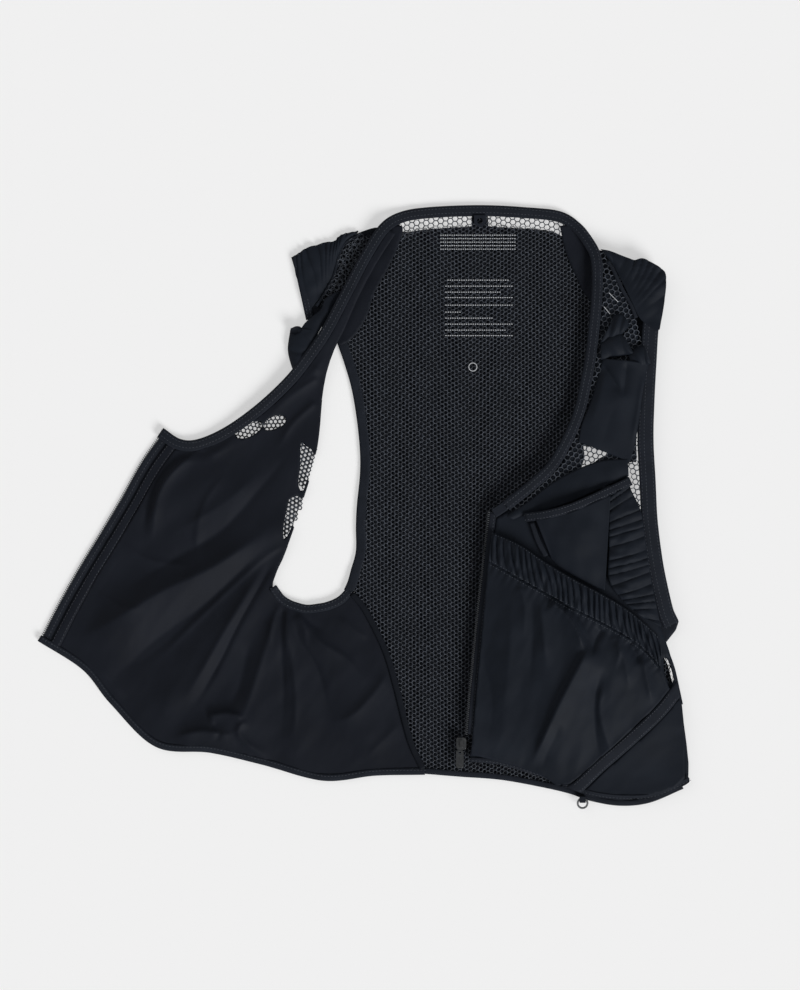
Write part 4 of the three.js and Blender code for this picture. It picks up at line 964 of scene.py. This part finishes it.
def makeRightFront():
    windows = [closedLine(places) for places in rightWindows.values()]
    outline = outlineOf("right_front_net")
    bm = clothGrid(outline, 2.5 * mm, windows)
    setHeights(bm, rightTop)
    blurHeights(bm, 12)
    for vert in bm.verts:
        vert.co.z -= 0.9 * mm
    sheet(finishPiece("rightFrontCloth", bm, pocketCloth, "pocket_cloth", ["right_front_net"], thick=0.4))
    patch("rightShoulderCloth", [(598, 250), (612, 253), (638, 262), (660, 272), (657, 330), (644, 352), (606, 346),
                                 (601, 300)], levelAt(5.2), shellCloth, "shell_cloth")
    seen = closedLine([(601, 255), (608, 262), (622, 288), (636, 318), (640, 360), (636, 440), (640, 466), (652, 530),
                       (655, 575), (640, 560), (628, 470), (606, 484), (560, 500), (524, 512), (500, 508), (528, 486),
                       (548, 466), (566, 440), (580, 406), (592, 362), (600, 320)])
    bm = hexNet(seen, 4.0, 0.85, lambda points: rightTop(points) + 0.1 * mm, deep=0.3, turn=14)
    finishPiece("rightFrontNet", bm, netKnit, "net", thick=0.35)

    band = lines["sideBand"]
    tapeOn("armholeBand", band, -12.2, 12.2, "right_armhole_band", crown=0.7, lift=0.0, across=10)
    patch("bandFold", [(660, 596), (668, 600), (679, 621), (676, 630), (664, 645), (656, 636), (654, 612)],
          levelAt(5.4), bindingPlain, "binding", thick=0.8, corners=(2, 3, 4))
    strip("sideEdge", smoothLine([(662, 640), (669, 652), (675, 668), (680, 690), (683, 704)]), -3.0, 3.0,
          levelAt(5.6), bindingKnit, "binding", crown=0.4)
    tapeOn("rightHemTape", lines["frontHem"], 0, 4.4, "right_hem_tape", "right_side_panel", crown=0.4,
           within=rightEdge)
    piping = smoothLine([(606, 262), (612, 272), (620, 290), (629, 306), (634, 319)])
    tapeOn("rightCapPiping", piping, -0.4, 3.0, "right_cap_piping", crown=0.9, lift=-0.5)
    cap = ruledGrid(smoothLine([(608, 259), (615, 270), (624, 288), (632, 305), (640, 320), (656, 332)]),
                    smoothLine([(600, 250), (610, 252), (620, 256), (628, 259), (634, 261), (642, 259), (652, 264),
                                (660, 269), (665, 276), (664, 300), (659, 330)]), 80, 34)

    def gathered(points, u, v):
        slant = v * 13 + 0.8 * u + 0.5 * np.sin(11 * v + 2 * u)
        pleat = pleats(slant, 0.55)
        front = np.clip(1 - (v - 0.62) / 0.2, 0, 1)
        return rightTop(points) + 0.7 * mm + 2.2 * mm * np.sin(math.pi * np.clip(u, 0.05, 0.95)) * front \
            + pleat * 1.7 * mm * u ** 1.1 * front + unevenness(points, 9, 0.9, 6)
    setRuledHeights(cap, gathered)
    sheet(finishPiece("rightShoulderCap", cap, pocketCloth, "pocket_cloth", ["right_shoulder_cap"], thick=0.5))

    bm = bmesh.new()
    for ends in ([(609, 294), (617, 302)], [(604, 308), (609, 314)]):
        stitchRow(bm, smoothLine(ends), lambda points: rightTop(points) + 0.3 * mm, spacing=1.2, long=1.6, wide=0.6)
    finishPiece("reflectiveBars", bm, printWhite, "net", upright=False)

    tapeOn("rightZipTape", lines["closedZip"], 2.0, 4.8, "right_zip_tape", crown=0.3, lift=-0.2)
    stitches("rightFrontStitches", [
        beside(band, -1.8 * mm), beside(band, -7.2 * mm), beside(band, -10.4 * mm),
        beside(lines["closedZip"], 5.4 * mm), beside(lines["frontHem"], 1.7 * mm),
    ], topOfScene("armholeBand", "rightZipTape", "rightHemTape"), spacing=2.6, long=1.6)


makeRightFront()
coilTeeth("leftZipCoil", lines["openZip"][3:], 1.3, 1.3, ["left_zip_coil"])
coilTeeth("rightZipCoil", lines["closedZip"], 1.1, 1000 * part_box("right_zip_coil")[1].z - 1.2, ["right_zip_coil"])
print("right front made")

# Pockets on the right front

sleeve = {
    "left": [(602, 359), (597, 380), (589, 405), (581, 425), (578, 442)],
    "right": [(648, 364), (642, 392), (638, 422), (634, 446), (629, 462)],
    "folds": [
        ([(600, 362), (612, 380), (622, 398)], -3.0, 2.4, 6),
        ([(626, 360), (624, 380), (622, 400)], -2.4, 5, 2.4),
        ([(643, 372), (637, 410), (630, 452)], 2.0, 5, 2.0),
        ([(606, 366), (598, 400), (588, 432)], 1.2, 5, 5),
        ([(616, 400), (606, 430), (600, 452)], -0.7, 6, 6),
    ],
}
mouthFolds = {
    "sleeveFoldUpper": {"hides": "right_sleeve_fold_upper",
                        "lower": [(600, 343), (612, 338), (621, 334)],
                        "upper": [(614, 316), (622, 316), (629, 326)]},
    "sleeveFoldLower": {"hides": "right_sleeve_fold_lower",
                        "lower": [(600, 360), (615, 357), (632, 354)],
                        "upper": [(600, 345), (618, 334), (632, 352)]},
    "sleeveFoldTip": {"hides": "right_sleeve_fold_tip",
                      "lower": [(630, 366), (640, 367), (649, 364)],
                      "upper": [(628, 356), (642, 346), (649, 362)]},
}
chest = {
    "mouth": [(524, 513), (545, 510), (570, 503), (600, 490), (628, 477)],
    "foot": [(551, 559), (560, 567), (577, 577), (592, 585), (604, 590)],
    "side": [(529, 523), (535, 541), (543, 557)],
}
gusset = {
    "left": [(608, 496), (608, 520), (608, 550), (608, 579), (620, 598), (640, 616)],
    "right": [(628, 486), (640, 512), (645, 545), (650, 578), (655, 604), (660, 626)],
    "folds": 15,
}
ruche = {
    "top": [(492, 532), (520, 545), (545, 562), (570, 577), (600, 593), (625, 608), (645, 624), (660, 638)],
    "foot": [(488, 561), (518, 578), (545, 593), (570, 607), (600, 622), (625, 636), (645, 651), (660, 668)],
    "folds": 27,
}
frontPocketFolds = [
    ([(538, 596), (541, 620), (545, 668)], 1.4, 4, 3),
    ([(530, 590), (532, 630), (528, 690)], -1.0, 4, 4),
    ([(550, 600), (566, 614), (576, 630), (583, 652)], 2.6, 1.6, 4.5, 0.05, 0.3),
    ([(566, 606), (578, 622), (590, 640)], 1.0, 1.5, 2.4, 0.05, 0.4),
    ([(520, 586), (524, 610), (522, 640)], 0.8, 1.6, 3, 0.05, 0.5),
    ([(616, 634), (618, 650), (612, 672)], 1.0, 1.6, 3, 0.05, 0.5),
    ([(556, 598), (572, 610), (584, 628), (588, 650)], -1.4, 3, 2.4),
    ([(601, 628), (594, 640), (590, 656)], -1.8, 2.6, 4, 0.05, 0.4),
    ([(588, 642), (570, 676), (552, 712), (531, 764)], 2.6, 10, 1.6, 0.15, 0.2),
    ([(600, 664), (594, 700), (596, 740), (604, 766)], -2.2, 7, 5),
    ([(603, 678), (598, 706), (604, 734), (614, 758)], 1.4, 2.4, 4),
    ([(628, 640), (634, 652), (640, 664)], -2.0, 3, 3, 0.05, 0.3),
    ([(640, 652), (645, 676), (652, 706)], 1.6, 3.5, 2.6),
    ([(610, 640), (622, 656), (628, 690)], 1.5, 4, 4),
    ([(655, 662), (668, 680), (676, 692)], 0.8, 2, 2.6),
    ([(510, 600), (508, 660), (500, 730)], 1.2, 8, 8),
    ([(560, 720), (548, 748), (540, 774)], -1.0, 5, 6),
    ([(480, 650), (492, 700), (486, 750)], -0.8, 5, 6),
]


def finishSheet(name, *details, **more):
    return sheet(finishPiece(name, *details, **more))


def makePockets():
    front = topOf("right_front_net")
    bm = ruledGrid(smoothLine(sleeve["left"]), smoothLine(sleeve["right"]), 80, 46)

    def sleeveShape(points, u, v):
        full = np.cos(0.5 * math.pi * np.clip(v, 0, 1)) ** 0.6
        dome = 5.4 * mm * full * (np.sin(math.pi * u) ** 0.7)
        return front(points) + 0.6 * mm + dome + foldRise(points, sleeve["folds"]) + unevenness(points, 14, 0.7, 9)
    setRuledHeights(bm, sleeveShape)
    blurHeights(bm, 2)
    finishSheet("flaskSleeve", bm, pocketCloth, "pocket_cloth", ["right_flask_sleeve"], thick=0.5)
    for name, fold in mouthFolds.items():
        bm = ruledGrid(smoothLine(fold["lower"]), smoothLine(fold["upper"]), 30, 24)
        setRuledHeights(bm, lambda points, u, v: front(points) + 1.2 * mm
                        + 3.4 * mm * (np.sin(math.pi * np.clip(u, 0, 1)) ** 0.6) * (0.5 + 0.5 * np.sin(math.pi * v))
                        + 0.6 * mm * np.sin(14 * v + 5 * u))
        finishSheet(name, bm, pocketCloth, "pocket_cloth", [fold["hides"]], thick=0.5)

    mouth = smoothLine(chest["mouth"])
    tapeOn("chestMouthBinding", mouth, 0, -6.6, "right_chest_binding", lift=-0.2, across=8)
    bm = ruledGrid(beside(mouth, -6.0 * mm)[5:-12], smoothLine(chest["foot"]), 60, 40)
    setRuledHeights(bm, lambda points, u, v: topOf("right_chest_pocket")(points) + unevenness(points, 11, 0.9, 12)
                    - 0.2 * mm)
    blurHeights(bm, 12)
    finishSheet("chestPocket", bm, pocketCloth, "pocket_cloth", ["right_chest_pocket"], thick=0.5)
    tapeOn("chestSideBinding", smoothLine(chest["side"]), 0, 3.6, "right_chest_side_binding", crown=0.4)

    gussetLeft = smoothLine(gusset["left"])
    bm = ruledGrid(gussetLeft, smoothLine(gusset["right"]), 180, 24)

    def ruched(points, u, v):
        slant = v * gusset["folds"] + 0.5 * u + 0.2 * np.sin(7 * v + 2 * u) + 0.25 * np.sin(23 * v)
        depth = 0.75 + 0.6 * np.array([noise.noise(Vector((a * 14, b * 3, 5.2))) for a, b in zip(v, u)])
        pleat = pleats(slant, 0.5)
        return front(points) + 0.6 * mm + 2.9 * mm * pleat * depth * (1 - 0.45 * u) + 1.2 * mm * np.sin(math.pi * u) \
            + unevenness(points, 6, 0.6, 14)
    setRuledHeights(bm, ruched)
    finishSheet("sideGusset", bm, pocketCloth, "pocket_cloth", ["right_side_gusset"], thick=0.45)

    rucheTop, rucheFoot = smoothLine(ruche["top"]), smoothLine(ruche["foot"])
    bm = ruledGrid(rucheTop, rucheFoot, 330, 26)
    under = topOf("right_pocket_ruche")
    setRuledHeights(bm, lambda points, u, v: under(points))
    blurHeights(bm, 60)
    level = {v: v.co.z for v in bm.verts}

    def elastic(points, u, v):
        low = np.array([level[vert] for vert in bm.verts])
        slant = v * ruche["folds"] - 0.9 * u + 0.4 * np.sin(9 * v + 2 * u) + 0.22 * np.sin(31 * v)
        depth = 0.75 + 0.5 * np.array([noise.noise(Vector((a * 40, b * 2, 3.1))) for a, b in zip(v, u)])
        pleat = pleats(slant, 0.48)
        rim = 1 - np.abs(2 * u - 1) ** 5
        return low - 2.2 * mm + 3.4 * mm * pleat * depth * (0.35 + 0.65 * rim) + 0.5 * mm * rim
    setRuledHeights(bm, elastic)
    finishSheet("pocketRuche", bm, pocketCloth, "pocket_cloth", ["right_pocket_ruche"], thick=0.45)

    bm = clothGrid(outlineOf("right_front_pocket"), 1.3 * mm)
    setHeights(bm, topOf("right_front_pocket"))
    blurHeights(bm, 40)
    points = placesOf(bm.verts)
    rise = 1.75 * foldRise(points, frontPocketFolds) + unevenness(points, 24, 1.0, 15, turn=75, stretch=2.5) \
        + unevenness(points, 8, 0.45, 17, turn=75, stretch=2.5) + unevenness(points, 4, 0.12, 18, turn=60, stretch=2)
    away, _, along, _ = nearestOn(points, rucheFoot)
    near = np.exp(-(away / (8 * mm)) ** 2)
    rise += near * 1.0 * mm * (pleats(along * ruche["folds"] + 0.3, 0.8) - 0.5)
    for vert, up in zip(bm.verts, rise):
        vert.co.z += up - 0.4 * mm
    finishSheet("frontPocket", bm, pocketCloth, "pocket_cloth", ["right_front_pocket"], thick=0.5)

    diagonal = smoothLine([(563, 794), (578, 786), (600, 765), (630, 738), (660, 710), (681, 684)])
    tapeOn("diagonalBinding", diagonal, -4.7, 9.4, "right_diagonal_binding", crown=0.6, lift=-0.2, across=8,
           within=rightEdge)
    yoke = ruledGrid(smoothLine([(506, 516), (530, 500), (550, 484), (575, 470), (600, 461), (627, 459)]),
                     smoothLine([(512, 520), (526, 514), (546, 510), (571, 502), (600, 489), (628, 476)]), 60, 14)
    setRuledHeights(yoke, lambda points, u, v: front(points) + (0.9 + 0.9 * np.sin(math.pi * u)) * mm
                    + unevenness(points, 10, 0.8, 51))
    sheet(finishPiece("chestYoke", yoke, pocketCloth, "pocket_cloth", thick=0.4))
    bm = clothGrid(outlineOf("right_side_panel"), 1.6 * mm)
    setHeights(bm, topOf("right_side_panel"))
    blurHeights(bm, 20)
    points = placesOf(bm.verts)
    rise = unevenness(points, 26, 1.0, 21, turn=20, stretch=2.5) + unevenness(points, 7, 0.25, 22, turn=20, stretch=2)
    for vert, up in zip(bm.verts, rise):
        vert.co.z += up
    finishSheet("sidePanel", bm, pocketCloth, "shell_cloth", ["right_side_panel"], thick=0.5)
    stitches("pocketStitches", [
        beside(mouth, -1.5 * mm), beside(mouth, -5.2 * mm), beside(diagonal, -3.2 * mm)[8:-8],
        beside(diagonal, 3.2 * mm)[8:-8], beside(rucheFoot, 1.2 * mm)[2:-2], beside(rucheFoot, -1.6 * mm)[2:-2],
        beside(rucheTop, -1.0 * mm)[2:-2], beside(gussetLeft, 3.0 * mm)[2:-12], beside(gussetLeft, 6.4 * mm)[2:-12],
    ], topOfScene("chestMouthBinding", "diagonalBinding", "pocketRuche", "frontPocket", "sideGusset"),
        spacing=2.3, long=1.3, wide=0.4)


makePockets()
print("pockets made")

# CAD nodes that stay: fastenings and small trim

kept = {
    "zip_slider": (sliderMetal, 0.3), "zip_pull": (sliderMetal, 0.3), "key_ring": (ringSteel, 0.0),
    "ring_tab": (bindingPlain, 0.2), "hanger_loop": (bindingPlain, 0.3), "zip_garage": (bindingPlain, 0.6),
}
for name, (material, rounding) in kept.items():
    node = nodes[name]
    node.data.materials.clear()
    node.data.materials.append(material)
    weld = node.modifiers.new("weld", "WELD")
    weld.merge_threshold = 0.01 * mm
    if rounding:
        edge = node.modifiers.new("edge", "BEVEL")
        edge.width = rounding * mm
        edge.segments = 2
        edge.limit_method = "ANGLE"
